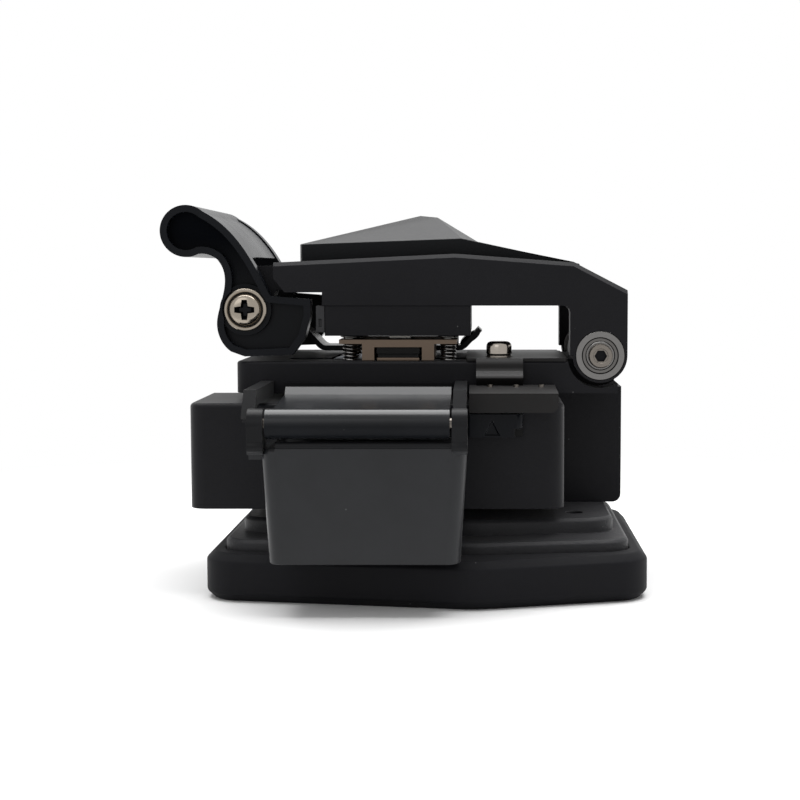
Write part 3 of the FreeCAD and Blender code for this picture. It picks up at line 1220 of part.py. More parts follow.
def make_lever_screws():
    y0 = SIDE_NEAR_Y + LEVER_BOSS_SINK - LEVER_END_PLAY
    y1 = SIDE_FAR_Y - LEVER_BOSS_SINK + LEVER_END_PLAY
    near_one = turned(flanged_screw(), V(PIVOT_X, y0, PIVOT_Z), V(0, -1, 0))
    far_one = turned(flanged_screw(), V(PIVOT_X, y1, PIVOT_Z), V(0, 1, 0))
    return Part.makeCompound([near_one, far_one])


def make_lever_spring():
    coil = spring_sleeve(LEVER_SPRING_R, LIFT_SPRING_WIRE, LEVER_SPRING_LENGTH)
    y = MID_Y + LEVER_SPRING_LENGTH / 2
    return turned(coil, V(PIVOT_X, y, PIVOT_Z), V(0, -1, 0))


# ---- scrap collector ----
def bin_shell(inset, z0, z1):
    """Tapered box of the bin between two levels, shrunk by the inset."""
    wires = []
    for z in (z0, z1):
        t = (BIN_RIM - z) / (BIN_RIM - BIN_BOTTOM)
        x0 = BIN_FRONT_X + BIN_DRAFT * t + inset
        x1 = BIN_BACK_X - BIN_DRAFT * t - inset
        y1 = BIN_FAR_Y - BIN_BACK_DRAFT * t - inset
        corner = BIN_CORNER - inset
        wires.append(rounded_wire(rectangle(x0, x1, BIN_NEAR_Y + inset, y1), [corner] * 4, in_xy(z)))
    return Part.makeLoft(wires, True, True)


def ear_outline():
    points = [(LID_AXIS_Y - LID_KNUCKLE_R, LID_AXIS_Z), (BIN_NEAR_Y, BIN_RIM - 1)]
    points += [(LID_AXIS_Y + LID_KNUCKLE_R, BIN_RIM - 1), (LID_AXIS_Y + LID_KNUCKLE_R, LID_AXIS_Z)]
    return points


def make_scrap_bin():
    body = bin_shell(0, BIN_BOTTOM, BIN_RIM)
    hollow = bin_shell(BIN_WALL, BIN_BOTTOM + BIN_WALL, BIN_RIM + 1)
    body = body.cut(hollow)
    bead_z = BIN_RIM + BIN_BEAD_R / 2
    bead_x0 = BIN_FRONT_X + BIN_CORNER
    bead_x1 = BIN_BACK_X - BIN_CORNER
    bead = rod_x(BIN_NEAR_Y + BIN_BEAD_R, bead_z, BIN_BEAD_R, bead_x0, bead_x1)
    pieces = [body, bead]
    front = BIN_FRONT_X - EAR_OVERHANG
    back = BIN_BACK_X - EAR_THICKNESS
    foot_y = BIN_NEAR_Y + BIN_BEAD_R
    for x0 in (front, back):
        x1 = x0 + EAR_THICKNESS
        pieces.append(rod_x(LID_AXIS_Y, LID_AXIS_Z, LID_KNUCKLE_R, x0, x1))
        pieces.append(rod_x(foot_y, bead_z, EAR_FOOT_R, x0, x1))
        pieces.append(slab_x(ear_outline(), [0] * 4, x0, x1))
    root = box(front, BIN_FRONT_X + BIN_CORNER, LID_AXIS_Y, LID_AXIS_Y + BIN_CORNER, BIN_RIM - 2, BIN_RIM)
    pieces.append(root)
    hanger_z0 = DECK_Z0 - HANGER_HEIGHT / 2 + HANGER_PIN_RISE
    hanger_z1 = hanger_z0 + HANGER_HEIGHT
    y1 = SIDE_NEAR_Y - SHOULDER_GAP
    for x, _ in hanger_pin_places():
        points = [(LID_AXIS_Y - 1, LID_AXIS_Z + 1), (LID_AXIS_Y + LID_KNUCKLE_R, hanger_z1)]
        points += [(y1, hanger_z1), (y1, hanger_z0), (LID_AXIS_Y + 3, hanger_z0)]
        points += [(LID_AXIS_Y + 1, LID_AXIS_Z)]
        half = HANGER_WIDTH / 2
        pieces.append(slab_x(points, [0] * 6, x - half, x + half))
    whole = joined(pieces)
    shaft_r = LID_SHAFT_R + SCREW_FIT
    whole = whole.cut(rod_x(LID_AXIS_Y, LID_AXIS_Z, shaft_r, front - 2, BIN_BACK_X + 2))
    for x, z in hanger_pin_places():
        depth = HANGER_PIN_LENGTH + 1
        whole = whole.cut(rod_y(x, z, HANGER_PIN_R + SCREW_FIT, SIDE_NEAR_Y - depth, SIDE_NEAR_Y))
    return whole


def make_bin_lid():
    x0 = BIN_FRONT_X - EAR_OVERHANG + EAR_THICKNESS + LID_SIDE_GAP
    x1 = BIN_BACK_X - EAR_THICKNESS - LID_SIDE_GAP
    knuckle = rod_x(LID_AXIS_Y, LID_AXIS_Z, LID_KNUCKLE_R, x0, x1)
    top = LID_AXIS_Z + LID_KNUCKLE_R
    far_y = LID_AXIS_Y + LID_REACH
    t = LID_THICKNESS
    points = [(LID_AXIS_Y, top), (far_y, top + LID_SLOPE), (far_y + t, top + LID_SLOPE + t)]
    points += [(far_y + t, top + LID_SLOPE), (far_y + t / 2, top + LID_SLOPE - t)]
    points += [(LID_AXIS_Y + 1, top - t)]
    plate = slab_x(points, [0] * 6, x0 + t, x1)
    lid = joined([knuckle, plate])
    return lid.cut(rod_x(LID_AXIS_Y, LID_AXIS_Z, LID_SHAFT_R + RUNNING_FIT, x0, x1))


def make_lid_shaft():
    x0 = BIN_FRONT_X - EAR_OVERHANG
    return rod_x(LID_AXIS_Y, LID_AXIS_Z, LID_SHAFT_R, x0, BIN_BACK_X)


NODES = {
    "base_boot": make_base_boot,
    "base_plate": make_base_plate,
    "frame_screws": make_frame_screws,
    "main_frame": make_main_frame,
    "guide_rail": make_guide_rail,
    "rail_screws": make_rail_screws,
    "deck_plate": make_deck_plate,
    "deck_screws": make_deck_screws,
    "hinge_shaft": make_hinge_shaft,
    "hinge_screws": make_hinge_screws,
    "hinge_spacers": make_hinge_spacers,
    "lower_clamps": make_lower_clamps,
    "lower_pads": make_lower_pads,
    "lift_springs": make_lift_springs,
    "fibre_guide": make_fibre_guide,
    "collector_plate": make_collector_plate,
    "shelf_pins": make_shelf_pins,
    "locating_pin": make_locating_pin,
    "hanger_pins": make_hanger_pins,
    "deck_strip": make_deck_strip,
    "slider_block": make_slider_block,
    "index_tab": make_index_tab,
    "cutting_wheel": make_cutting_wheel,
    "blade_hub": make_blade_hub,
    "blade_nut": make_blade_nut,
    "arm_casting": make_arm_casting,
    "arm_cover": make_arm_cover,
    "arm_bearings": make_arm_bearings,
    "clamp_housing": make_clamp_housing,
    "lever_catch": make_lever_catch,
    "anvil": make_anvil,
    "fibre_guard": make_fibre_guard,
    "upper_brackets": make_upper_brackets,
    "upper_pads": make_upper_pads,
    "clamp_posts": make_clamp_posts,
    "clamp_springs": make_clamp_springs,
    "thumb_lever": make_thumb_lever,
    "lever_shaft": make_lever_shaft,
    "lever_screws": make_lever_screws,
    "lever_spring": make_lever_spring,
    "scrap_bin": make_scrap_bin,
    "bin_lid": make_bin_lid,
    "lid_shaft": make_lid_shaft,
}

os.makedirs("parts", exist_ok=True)
for name, make in NODES.items():
    shape = make()
    shape.exportStep("parts/" + name + ".step")
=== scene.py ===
# %% [markdown]
# # A fibre cleaver, dressed for the studio
# A fibre cleaver scores a glass fibre with a small wheel and snaps it square. This one is a black
# bench tool: a rubber-booted base, a block that slides under a deck, a hinged arm with a thumb
# lever, and a bin for scraps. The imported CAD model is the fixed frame. This script gives each
# piece its finish, rebuilds the few pieces that need more than the frame has, and lights the set.

# %% Load the frame and note its box
import bpy
import bmesh
import json
import math
from mathutils import Vector, Matrix


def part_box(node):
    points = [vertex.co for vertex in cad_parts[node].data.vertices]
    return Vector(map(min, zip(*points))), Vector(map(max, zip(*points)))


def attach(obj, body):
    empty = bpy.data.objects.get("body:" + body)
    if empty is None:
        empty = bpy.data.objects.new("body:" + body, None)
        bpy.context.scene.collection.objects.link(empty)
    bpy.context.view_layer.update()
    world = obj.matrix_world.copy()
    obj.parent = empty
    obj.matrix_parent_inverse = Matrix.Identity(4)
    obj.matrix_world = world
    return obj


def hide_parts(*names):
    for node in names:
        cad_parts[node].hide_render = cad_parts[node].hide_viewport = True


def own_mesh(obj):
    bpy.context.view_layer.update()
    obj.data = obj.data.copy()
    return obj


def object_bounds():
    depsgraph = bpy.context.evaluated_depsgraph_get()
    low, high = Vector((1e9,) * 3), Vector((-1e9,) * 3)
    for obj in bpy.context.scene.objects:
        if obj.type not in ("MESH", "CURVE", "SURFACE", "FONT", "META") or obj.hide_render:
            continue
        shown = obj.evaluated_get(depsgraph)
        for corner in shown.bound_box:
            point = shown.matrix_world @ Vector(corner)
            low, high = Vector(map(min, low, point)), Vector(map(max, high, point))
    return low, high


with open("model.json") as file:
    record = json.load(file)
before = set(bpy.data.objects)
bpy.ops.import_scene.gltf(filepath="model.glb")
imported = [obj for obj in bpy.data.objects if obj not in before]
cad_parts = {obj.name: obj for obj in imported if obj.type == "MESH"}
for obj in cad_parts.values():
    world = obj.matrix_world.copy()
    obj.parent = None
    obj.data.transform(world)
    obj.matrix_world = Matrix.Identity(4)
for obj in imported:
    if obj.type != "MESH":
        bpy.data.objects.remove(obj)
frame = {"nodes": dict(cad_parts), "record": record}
cad_low, cad_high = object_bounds()
MM = 0.001
nodes = frame["nodes"]
record = frame["record"]
body_of = {node: body for body, group in record["behaviour"]["bodies"].items() for node in group}
slot_of = {part["node"]: part["material_slot"] for part in record["subparts"]}
print("frame holds", len(nodes), "nodes, box in mm", [round(v / MM, 1) for v in cad_high - cad_low])

# %% [markdown]
# ## Shared shader groups
# Every black surface here is a different black: powder paint, cast texture, rubber, moulded
# plastic. They share three effects, so each effect is one node group with named inputs. A group
# hands out values only, and each material keeps its own shader.

# %% Helpers that start a group and add its usual nodes
def start_group(name, inputs, outputs):
    group = bpy.data.node_groups.new(name, "ShaderNodeTree")
    for label, value in inputs.items():
        socket = group.interface.new_socket(label, in_out="INPUT", socket_type="NodeSocketFloat")
        socket.default_value = value
    for label, kind in outputs.items():
        group.interface.new_socket(label, in_out="OUTPUT", socket_type=kind)
    return group, group.nodes.new("NodeGroupInput"), group.nodes.new("NodeGroupOutput")


def feed(tree, socket, value):
    """A number is typed into the socket, anything else is linked to it."""
    if isinstance(value, bpy.types.NodeSocket):
        tree.links.new(value, socket)
    else:
        socket.default_value = value


NOISE_ROUGHNESS = 0.6


def noise(tree, vector, scale, detail):
    node = tree.nodes.new("ShaderNodeTexNoise")
    node.inputs["Detail"].default_value = detail
    node.inputs["Roughness"].default_value = NOISE_ROUGHNESS
    feed(tree, node.inputs["Vector"], vector)
    feed(tree, node.inputs["Scale"], scale)
    return node.outputs["Fac"]


def calc(tree, operation, first, second):
    node = tree.nodes.new("ShaderNodeMath")
    node.operation = operation
    feed(tree, node.inputs[0], first)
    feed(tree, node.inputs[1], second)
    return node.outputs["Value"]


def object_coords(tree):
    return tree.nodes.new("ShaderNodeTexCoord").outputs["Object"]


print("group helpers:", [f.__name__ for f in (start_group, feed, noise, calc, object_coords)])

# %% [markdown]
# ### Grain
# Powder paint and sprayed texture look like tiny pillows. Two noises, one fine and one coarser,
# make the height. Object coordinates are metres here, so the scale counts grains to the metre.

# %% Grain group
COARSE_GRAINS = 0.35    # coarse grains to each fine one along a line


def build_grain_group():
    group, entry, result = start_group(
        "grain", {"Grains": 4000.0, "Coarseness": 0.4}, {"Height": "NodeSocketFloat"})
    coords = object_coords(group)
    fine = noise(group, coords, entry.outputs["Grains"], 2.0)
    fewer = calc(group, "MULTIPLY", entry.outputs["Grains"], COARSE_GRAINS)
    coarse = noise(group, coords, fewer, 3.0)
    blended = calc(group, "MULTIPLY", coarse, entry.outputs["Coarseness"])
    group.links.new(calc(group, "ADD", fine, blended), result.inputs["Height"])
    return group


GRAIN = build_grain_group()
print("grain group:", len(GRAIN.nodes), "nodes")

# %% [markdown]
# ### Bloom
# Handled black parts are never evenly matt: skin oil and dust leave wide soft patches. The group
# puts out one mask that drifts between minus one and one, and each finish decides how far to
# follow it.

# %% Bloom group
NOISE_MIDDLE = 0.5
DRIFT_GAIN = 4.0        # brings the noise's narrow spread to about one each way


def build_bloom_group():
    group, entry, result = start_group("bloom", {"Patches": 60.0}, {"Drift": "NodeSocketFloat"})
    patches = noise(group, object_coords(group), entry.outputs["Patches"], 5.0)
    centred = calc(group, "SUBTRACT", patches, NOISE_MIDDLE)
    group.links.new(calc(group, "MULTIPLY", centred, DRIFT_GAIN), result.inputs["Drift"])
    return group


BLOOM = build_bloom_group()
print("bloom group:", len(BLOOM.nodes), "nodes")

# %% [markdown]
# ### Dust
# Dark tools show lint at once. A cell pattern gives each cell one round speck, and only a small
# share of the cells keeps it, so the specks are sparse and no two are the same distance apart.

# %% Dust group
def build_dust_group():
    group, entry, result = start_group(
        "dust", {"Cells": 300.0, "Size": 0.05, "Share": 0.2}, {"Mask": "NodeSocketFloat"})
    cells = group.nodes.new("ShaderNodeTexVoronoi")
    feed(group, cells.inputs["Vector"], object_coords(group))
    feed(group, cells.inputs["Scale"], entry.outputs["Cells"])
    near = calc(group, "LESS_THAN", cells.outputs["Distance"], entry.outputs["Size"])
    draw = group.nodes.new("ShaderNodeSeparateColor")
    group.links.new(cells.outputs["Color"], draw.inputs["Color"])
    kept = calc(group, "LESS_THAN", draw.outputs["Red"], entry.outputs["Share"])
    group.links.new(calc(group, "MULTIPLY", near, kept), result.inputs["Mask"])
    return group


DUST = build_dust_group()
print("dust group:", len(DUST.nodes), "nodes")

# %% [markdown]
# ## Dark finishes
# One function makes every black from its own numbers: how dark, how rough, how coarse the grain
# is and how deep. Depth is in metres, so a grain eighty micrometres deep is written 8e-5.

# %% Paint, plastic and rubber
def start_material(name):
    material = bpy.data.materials.new(name)
    material.use_nodes = True
    tree = material.node_tree
    return material, tree, tree.nodes["Principled BSDF"]


def place_group(tree, group, **values):
    node = tree.nodes.new("ShaderNodeGroup")
    node.node_tree = group
    for label, value in values.items():
        node.inputs[label].default_value = value
    return node.outputs[0]


def map_range(tree, value, low, high, from_low=0.0, from_high=1.0):
    node = tree.nodes.new("ShaderNodeMapRange")
    feed(tree, node.inputs["Value"], value)
    node.inputs["From Min"].default_value = from_low
    node.inputs["From Max"].default_value = from_high
    node.inputs["To Min"].default_value = low
    node.inputs["To Max"].default_value = high
    return node.outputs["Result"]


def mix_colour(tree, factor, first, second):
    node = tree.nodes.new("ShaderNodeMix")
    node.data_type = "RGBA"
    feed(tree, node.inputs[0], factor)
    for socket, colour in ((node.inputs[6], first), (node.inputs[7], second)):
        feed(tree, socket, colour if isinstance(colour, bpy.types.NodeSocket) else (*colour, 1))
    return node.outputs[2]


def add_bump(tree, shader, height, depth):
    bump = tree.nodes.new("ShaderNodeBump")
    bump.inputs["Distance"].default_value = depth
    feed(tree, bump.inputs["Height"], height)
    tree.links.new(bump.outputs["Normal"], shader.inputs["Normal"])


PATCHES = 60.0          # soft patches to the metre
PALER, DARKER = 1.35, 0.8
SPECKS = {"Cells": 380.0, "Size": 0.04}
LINT_GREY = (0.09, 0.09, 0.09)
SHEEN_ROUGHNESS = 0.35


def dark_finish(name, colour, roughness, grains, depth, drift=0.05, coarseness=0.4,
                specular=0.15, dust=0.2, sheen=0.04):
    material, tree, shader = start_material(name)
    bloom = place_group(tree, BLOOM, Patches=PATCHES)
    rough = map_range(tree, bloom, roughness - drift, roughness + drift, -1, 1)
    tree.links.new(rough, shader.inputs["Roughness"])
    paler = [c * PALER for c in colour]
    darker = [c * DARKER for c in colour]
    base = mix_colour(tree, map_range(tree, bloom, 0, 1, -1, 1), darker, paler)
    specks = place_group(tree, DUST, Share=dust, **SPECKS)
    tree.links.new(mix_colour(tree, specks, base, LINT_GREY), shader.inputs["Base Color"])
    add_bump(tree, shader, place_group(tree, GRAIN, Grains=grains, Coarseness=coarseness), depth)
    shader.inputs["Specular IOR Level"].default_value = specular
    shader.inputs["Sheen Weight"].default_value = sheen
    shader.inputs["Sheen Roughness"].default_value = SHEEN_ROUGHNESS
    return material


print("a dark finish drifts between", DARKER, "and", PALER, "of its colour")

# %% [markdown]
# ## Metals
# Turned and plated metal keeps fine marks from its tool, so one noise drives both its roughness
# and a slight change of tint. The noise is squeezed along Z, so the marks run level round an
# upright pin.

# %% Bare metals
BRUSHING = 900.0        # tool marks to the metre before the squeeze
BRUSH_SQUEEZE = (1, 1, 12)
BRUSH_DEPTH = 1.5e-6
SMOOTHEST, ROUGHEST = 0.75, 1.35    # shares of a metal's own roughness


def metal_finish(name, colour, roughness):
    material, tree, shader = start_material(name)
    shader.inputs["Metallic"].default_value = 1.0
    stretch = tree.nodes.new("ShaderNodeMapping")
    stretch.inputs["Scale"].default_value = BRUSH_SQUEEZE
    tree.links.new(object_coords(tree), stretch.inputs["Vector"])
    lines = noise(tree, stretch.outputs["Vector"], BRUSHING, 3.0)
    rough = map_range(tree, lines, roughness * SMOOTHEST, roughness * ROUGHEST)
    tree.links.new(rough, shader.inputs["Roughness"])
    tint = mix_colour(tree, lines, [c * DARKER for c in colour], colour)
    tree.links.new(tint, shader.inputs["Base Color"])
    add_bump(tree, shader, lines, BRUSH_DEPTH)
    return material


# Colour, roughness, grains to the metre and grain depth, for blacks that come in two variants.
POWDER = ((0.0060, 0.0060, 0.0074), 0.5, 3400, 2.2e-5)
NYLON = ((0.0034, 0.0040, 0.0056), 0.28, 6500, 3e-6)

finish = {
    "painted_black": dark_finish("powder paint", *POWDER, specular=0.12),
    "textured_black": dark_finish("coarse cast texture", (0.0075, 0.0075, 0.0085), 0.58, 2200, 5e-5,
                                  coarseness=0.8, specular=0.14),
    "gloss_black": dark_finish("fine sprayed texture", (0.0050, 0.0050, 0.0056), 0.46, 3400, 2.6e-5,
                               specular=0.1),
    "black_plastic": dark_finish("moulded black nylon", *NYLON, specular=0.1, dust=0.12),
    "bin_plastic": dark_finish("smoked moulded plastic", (0.0108, 0.0114, 0.0130), 0.33, 7000, 2e-6,
                               specular=0.26, dust=0.2, sheen=0.06),
    "boot_rubber": dark_finish("black rubber", (0.0055, 0.0055, 0.0068), 0.66, 3500, 1e-5,
                               drift=0.08, specular=0.12, dust=0.35),
    "pad_rubber": dark_finish("soft pad rubber", (0.008, 0.008, 0.008), 0.7, 4000, 6e-6, dust=0.0),
    "light_plastic": dark_finish("dark acetal", (0.03, 0.03, 0.032), 0.4, 6000, 2e-6, dust=0.0),
    "sheet_metal": dark_finish("black coated sheet", (0.009, 0.009, 0.011), 0.34, 6000, 4e-6,
                               specular=0.2),
    "steel": metal_finish("nickel plated steel", (0.31, 0.30, 0.28), 0.2),
    "spring_wire": metal_finish("spring wire", (0.34, 0.33, 0.32), 0.22),
    "carbide": metal_finish("ground carbide", (0.30, 0.31, 0.33), 0.18),
    "bronze": metal_finish("anodised bronze", (0.135, 0.102, 0.078), 0.4),
    "brass": metal_finish("turned brass", (0.62, 0.45, 0.22), 0.22),
}
plating = metal_finish("warm nickel plating", (0.34, 0.30, 0.25), 0.18)
cap_steel = metal_finish("stained cap screw", (0.20, 0.18, 0.16), 0.26)
# Blackened steel, also used as painted shade inside screw recesses.
oxide_and_recess_shade = metal_finish("black oxide", (0.012, 0.012, 0.013), 0.4)
shield = metal_finish("pressed shield", (0.13, 0.125, 0.12), 0.3)
shadow = dark_finish("oily shadow", (0.003, 0.003, 0.003), 0.5, 3000, 2e-6, specular=0.1, dust=0.0)
race_steel = metal_finish("ground race steel", (0.19, 0.185, 0.18), 0.22)
pin_steel = metal_finish("polished pin", (0.37, 0.335, 0.295), 0.16)
print("finishes:", sorted(finish))

# %% [markdown]
# ### Finishes with a direction
# A smooth black roll mirrors the bright room with its upper half and the dark bench with its
# lower half, and a deep recess mirrors hardly anything. The set has no dark bench, so both are
# painted light, one mask on the specular level: the first, a painted reflection, follows the
# normal, the second, painted shade, follows the height. The hood and the bracket get painted
# highlights on faces that look up, and the lever's web painted shade, the same way. The other
# blacks here have no direction, but one piece alone wears each of them.

# %% Lid, bracket, hood, lever and steps
def paint_light_into_specular(material, source, low, high, from_low, from_high):
    """The specular level follows the Z part of a coordinate output: painted light, since faces
    reflect more or less by which way they face and how high they sit.
    """
    tree = material.node_tree
    split = tree.nodes.new("ShaderNodeSeparateXYZ")
    coords = tree.nodes.new("ShaderNodeTexCoord")
    tree.links.new(coords.outputs[source], split.inputs["Vector"])
    level = map_range(tree, split.outputs["Z"], low, high, from_low, from_high)
    tree.links.new(level, tree.nodes["Principled BSDF"].inputs["Specular IOR Level"])
    return material


# Painted reflection: the lid mirrors more where it faces up and less where it faces down, as if a
# dark bench lay below.
lid_gloss_painted_reflection = paint_light_into_specular(
    dark_finish("glossy lid plastic", (0.0065, 0.0072, 0.0086), 0.24, 7000, 1.5e-6, dust=0.15),
    "Normal", 0.06, 0.42, -0.1, 0.75)
# Painted shade: a darker copy of the nylon for the lever's recess floors, reflecting less the
# higher it sits.
recess_painted_shade = paint_light_into_specular(
    dark_finish("nylon deep in the roll", (0.0020, 0.0024, 0.0034), 0.35, 6500, 2e-6,
                dust=0.0, sheen=0.0),
    "Object", 0.10, 0.01, 0.052, 0.064)
step_paint = dark_finish("worn step paint", (0.021, 0.021, 0.023), 0.5, 2200, 8e-5,
                         coarseness=0.7, specular=0.2)
ear_black = dark_finish("filled black plastic", (0.0052, 0.0054, 0.0062), 0.36, 6000, 3e-6,
                        specular=0.12)
# Painted highlight: the bracket reflects more on faces that look up.
bracket_coat_painted_highlight = paint_light_into_specular(
    dark_finish("coated bracket", (0.0086, 0.0080, 0.0080), 0.45, 6000, 4e-6, sheen=0.06),
    "Normal", 0.16, 0.5, 0.0, 0.95)
# Painted highlight: the hood reflects more on facets that look up.
hood_with_painted_highlight = paint_light_into_specular(
    dark_finish("sprayed hood", (0.0052, 0.0056, 0.0064), 0.48, 2800, 3.4e-5, coarseness=0.6),
    "Normal", 0.08, 0.34, 0.3, 0.75)
slider_paint = dark_finish("slider paint", *POWDER, specular=0.12, sheen=0.15)
# Painted shade: the lever reflects less on faces that look up.
lever_nylon_painted_shade = paint_light_into_specular(
    dark_finish("moulded lever nylon", *NYLON, dust=0.12, sheen=0.0),
    "Normal", 0.10, 0.05, 0.2, 0.9)
own_finish = {
    "bin_lid": lid_gloss_painted_reflection, "lid_shaft": cap_steel, "collector_plate": bracket_coat_painted_highlight,
    "slider_block": slider_paint, "thumb_lever": lever_nylon_painted_shade, "base_plate": step_paint,
    "arm_cover": hood_with_painted_highlight, "shelf_pins": cap_steel, "locating_pin": pin_steel,
}
print("finishes of their own:", sorted(own_finish))

# %% [markdown]
# ## Dress the frame
# The record says which slot each node belongs to, so the finishes go on by slot. Five small steel
# pieces are blackened, as guide rails and deck strips are, so that no glare shows from under the
# deck.

# %% Put a finish on each node
BLACKENED = ("guide_rail", "rail_screws", "frame_screws", "deck_screws", "deck_strip")
for name, node in nodes.items():
    node.data.materials.clear()
    usual = oxide_and_recess_shade if name in BLACKENED else finish[slot_of[name]]
    node.data.materials.append(own_finish.get(name, usual))
print("nodes dressed:", len(nodes), "of them blackened:", len(BLACKENED))

# %% [markdown]
# ## Turned parts
# Screws, bearings and pins come off a lathe, so they're drawn the same way here: a half profile
# in radius and height, turned about its axis. A face takes its finish from the profile step it
# came from, which lets one bearing carry bright rings, a grey shield and the dark gaps between
# them, where the dark is painted shadow.

# %% A small lathe
KNURL_DEPTH = 0.07
SEAM_GAP = 1e-7                     # metres, merges a profile's ends on the axis
CRISP_ANGLE = math.radians(35)


def turn(profile, sides=64, knurled=()):
    """Profile of (radius, height, finish index) turned about +Z; knurled steps get fine teeth."""
    work = bmesh.new()
    rings = []
    for row, (radius, height, _) in enumerate(profile):
        ring = []
        for i in range(sides):
            angle = 2 * math.pi * i / sides
            reach = radius - (KNURL_DEPTH if row in knurled and i % 2 else 0)
            across = (reach * math.cos(angle) * MM, reach * math.sin(angle) * MM)
            ring.append(work.verts.new((*across, height * MM)))
        rings.append(ring)
    for row, (lower, upper) in enumerate(zip(rings, rings[1:])):
        for i in range(sides):
            j = (i + 1) % sides
            face = work.faces.new((lower[i], lower[j], upper[j], upper[i]))
            face.material_index = profile[row][2]
            face.smooth = True
    bmesh.ops.remove_doubles(work, verts=work.verts, dist=SEAM_GAP)
    bmesh.ops.recalc_face_normals(work, faces=work.faces)
    return work


def tool_mesh(work, name):
    mesh = bpy.data.meshes.new(name)
    work.to_mesh(mesh)
    work.free()
    return mesh


def cut_by(work, cutter):
    """A mesh of the piece with the cutter's shape taken out of it."""
    body = link("blank", tool_mesh(work, "blank"))
    knife = link("knife", tool_mesh(cutter, "knife"))
    boolean = body.modifiers.new("cut", "BOOLEAN")
    boolean.operation = "DIFFERENCE"
    boolean.solver = "EXACT"
    boolean.use_self = True
    boolean.object = knife
    graph = bpy.context.evaluated_depsgraph_get()
    mesh = bpy.data.meshes.new_from_object(body.evaluated_get(graph))
    for leftover in (body, knife):
        bpy.data.objects.remove(leftover)
    return mesh


def prism(corners, z0, z1, taper=1.0):
    """Prism over a flat outline; its lower end is drawn in by the taper."""
    work = bmesh.new()
    top = [work.verts.new((x * MM, y * MM, z1 * MM)) for x, y in corners]
    low = [work.verts.new((x * taper * MM, y * taper * MM, z0 * MM)) for x, y in corners]
    count = len(corners)
    work.faces.new(top)
    work.faces.new(low[::-1])
    for i in range(count):
        j = (i + 1) % count
        work.faces.new((top[j], top[i], low[i], low[j]))
    bmesh.ops.recalc_face_normals(work, faces=work.faces)
    return work


def on_both_sides(mesh, place, near_y, far_y):
    """One mesh holding the part at the near face and, turned about, at the far face."""
    work = bmesh.new()
    for y, angle in ((near_y, math.pi / 2), (far_y, -math.pi / 2)):
        copy = mesh.copy()
        move = Matrix.Translation(Vector((place[0], y, place[1])) * MM)
        copy.transform(move @ Matrix.Rotation(angle, 4, "X"))
        work.from_mesh(copy)
        bpy.data.meshes.remove(copy)
    return work


def finished(work, piece_name, name, finishes):
    """A turned piece with its finishes and crisp steps, shown in place of the node."""
    mesh = tool_mesh(work, piece_name)
    for material in finishes:
        mesh.materials.append(material)
    piece = link(piece_name, mesh)
    sharp = piece.modifiers.new("crisp steps", "EDGE_SPLIT")
    sharp.split_angle = CRISP_ANGLE
    return stand_for(piece, name)


print("lathe helpers:", [f.__name__ for f in (turn, tool_mesh, cut_by, prism, on_both_sides)])

# %% [markdown]
# ## Forms that the frame keeps plain
# Four pieces have a small form that their solids leave out: the collector's clip swells in a soft
# roll, the index tab has a notch whose cut faces get painted shadow, the bin's lower edge is well
# rounded, and the floor of the lever's recess gets painted shade, a darker finish that hardly
# mirrors anything. Each one is a function that works on a copy of the node.

# %% Reshape the clip, the lever, the tab and the bin
CLIP_BOX = ((8.7, 17.4), (-18.4, -15.65), (37.3, 42.25))    # x, y and z of the clip alone
CLIP_CREASE, ROW_STEP, ROWS_EACH_WAY = 39.94, 0.3, 7
PLAIN_CLIP = ((37.3, -17.05), (39.94, -18.1), (42.2, -15.85))    # height and y of its face
FLAT_CLIP = ((37.3, -16.5), (41.4, -16.4), (42.2, -15.85))
SWELL, SWELL_HEIGHT, SWELL_HALF = 1.35, 38.75, 1.6
RECESS_DEPTH, FACES_SIDEWAYS = 0.25, 0.9
NOTCH_LENGTH, NOTCH_DEPTH, NOTCH_HEIGHT, PAST_EDGE = 1.5, 1.6, 1.5, 1
NOTCH_LARGEST_FACE = 4              # square millimetres
BIN_ROUND, BIN_ROUND_STEPS, EAR_FOOT = 0.9, 4, 28.2
CLOSE = 0.01


def in_clip(co):
    return all(low * MM < value < high * MM for value, (low, high) in zip(co, CLIP_BOX))


def between(points, x):
    """Straight-line value at x from sorted points."""
    for (x0, y0), (x1, y1) in zip(points, points[1:]):
        if x <= x1:
            return y0 + (y1 - y0) * max(0.0, x - x0) / (x1 - x0)
    return points[-1][1]


def roll_clip(soft):
    """The clip is cut in even rows, and each row moves from the plain crease to the soft roll."""
    for step in range(-ROWS_EACH_WAY, ROWS_EACH_WAY + 1):
        z = (CLIP_CREASE + step * ROW_STEP) * MM
        faces = [f for f in soft.faces if in_clip(f.calc_center_median())]
        edges = list(dict.fromkeys(e for f in faces for e in f.edges))
        verts = list(dict.fromkeys(v for f in faces for v in f.verts))
        bmesh.ops.bisect_plane(
            soft, geom=faces + edges + verts, plane_co=(0, 0, z), plane_no=(0, 0, 1))
    for vert in soft.verts:
        if in_clip(vert.co):
            z = vert.co.z / MM
            share = max(-1.0, min(1.0, (z - SWELL_HEIGHT) / SWELL_HALF))
            swell = SWELL * math.cos(math.pi / 2 * share) ** 2
            vert.co.y += (between(FLAT_CLIP, z) - swell - between(PLAIN_CLIP, z)) * MM


def paint_lever_recess_shade(soft):
    """Floors of the lever's side recesses take the second finish, which paints shade in them."""
    outer = [corner[1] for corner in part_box("thumb_lever")]
    for face in soft.faces:
        depth = min(abs(face.calc_center_median().y - y) for y in outer)
        if abs(face.normal.y) > FACES_SIDEWAYS and depth > RECESS_DEPTH * MM:
            face.material_index = 1


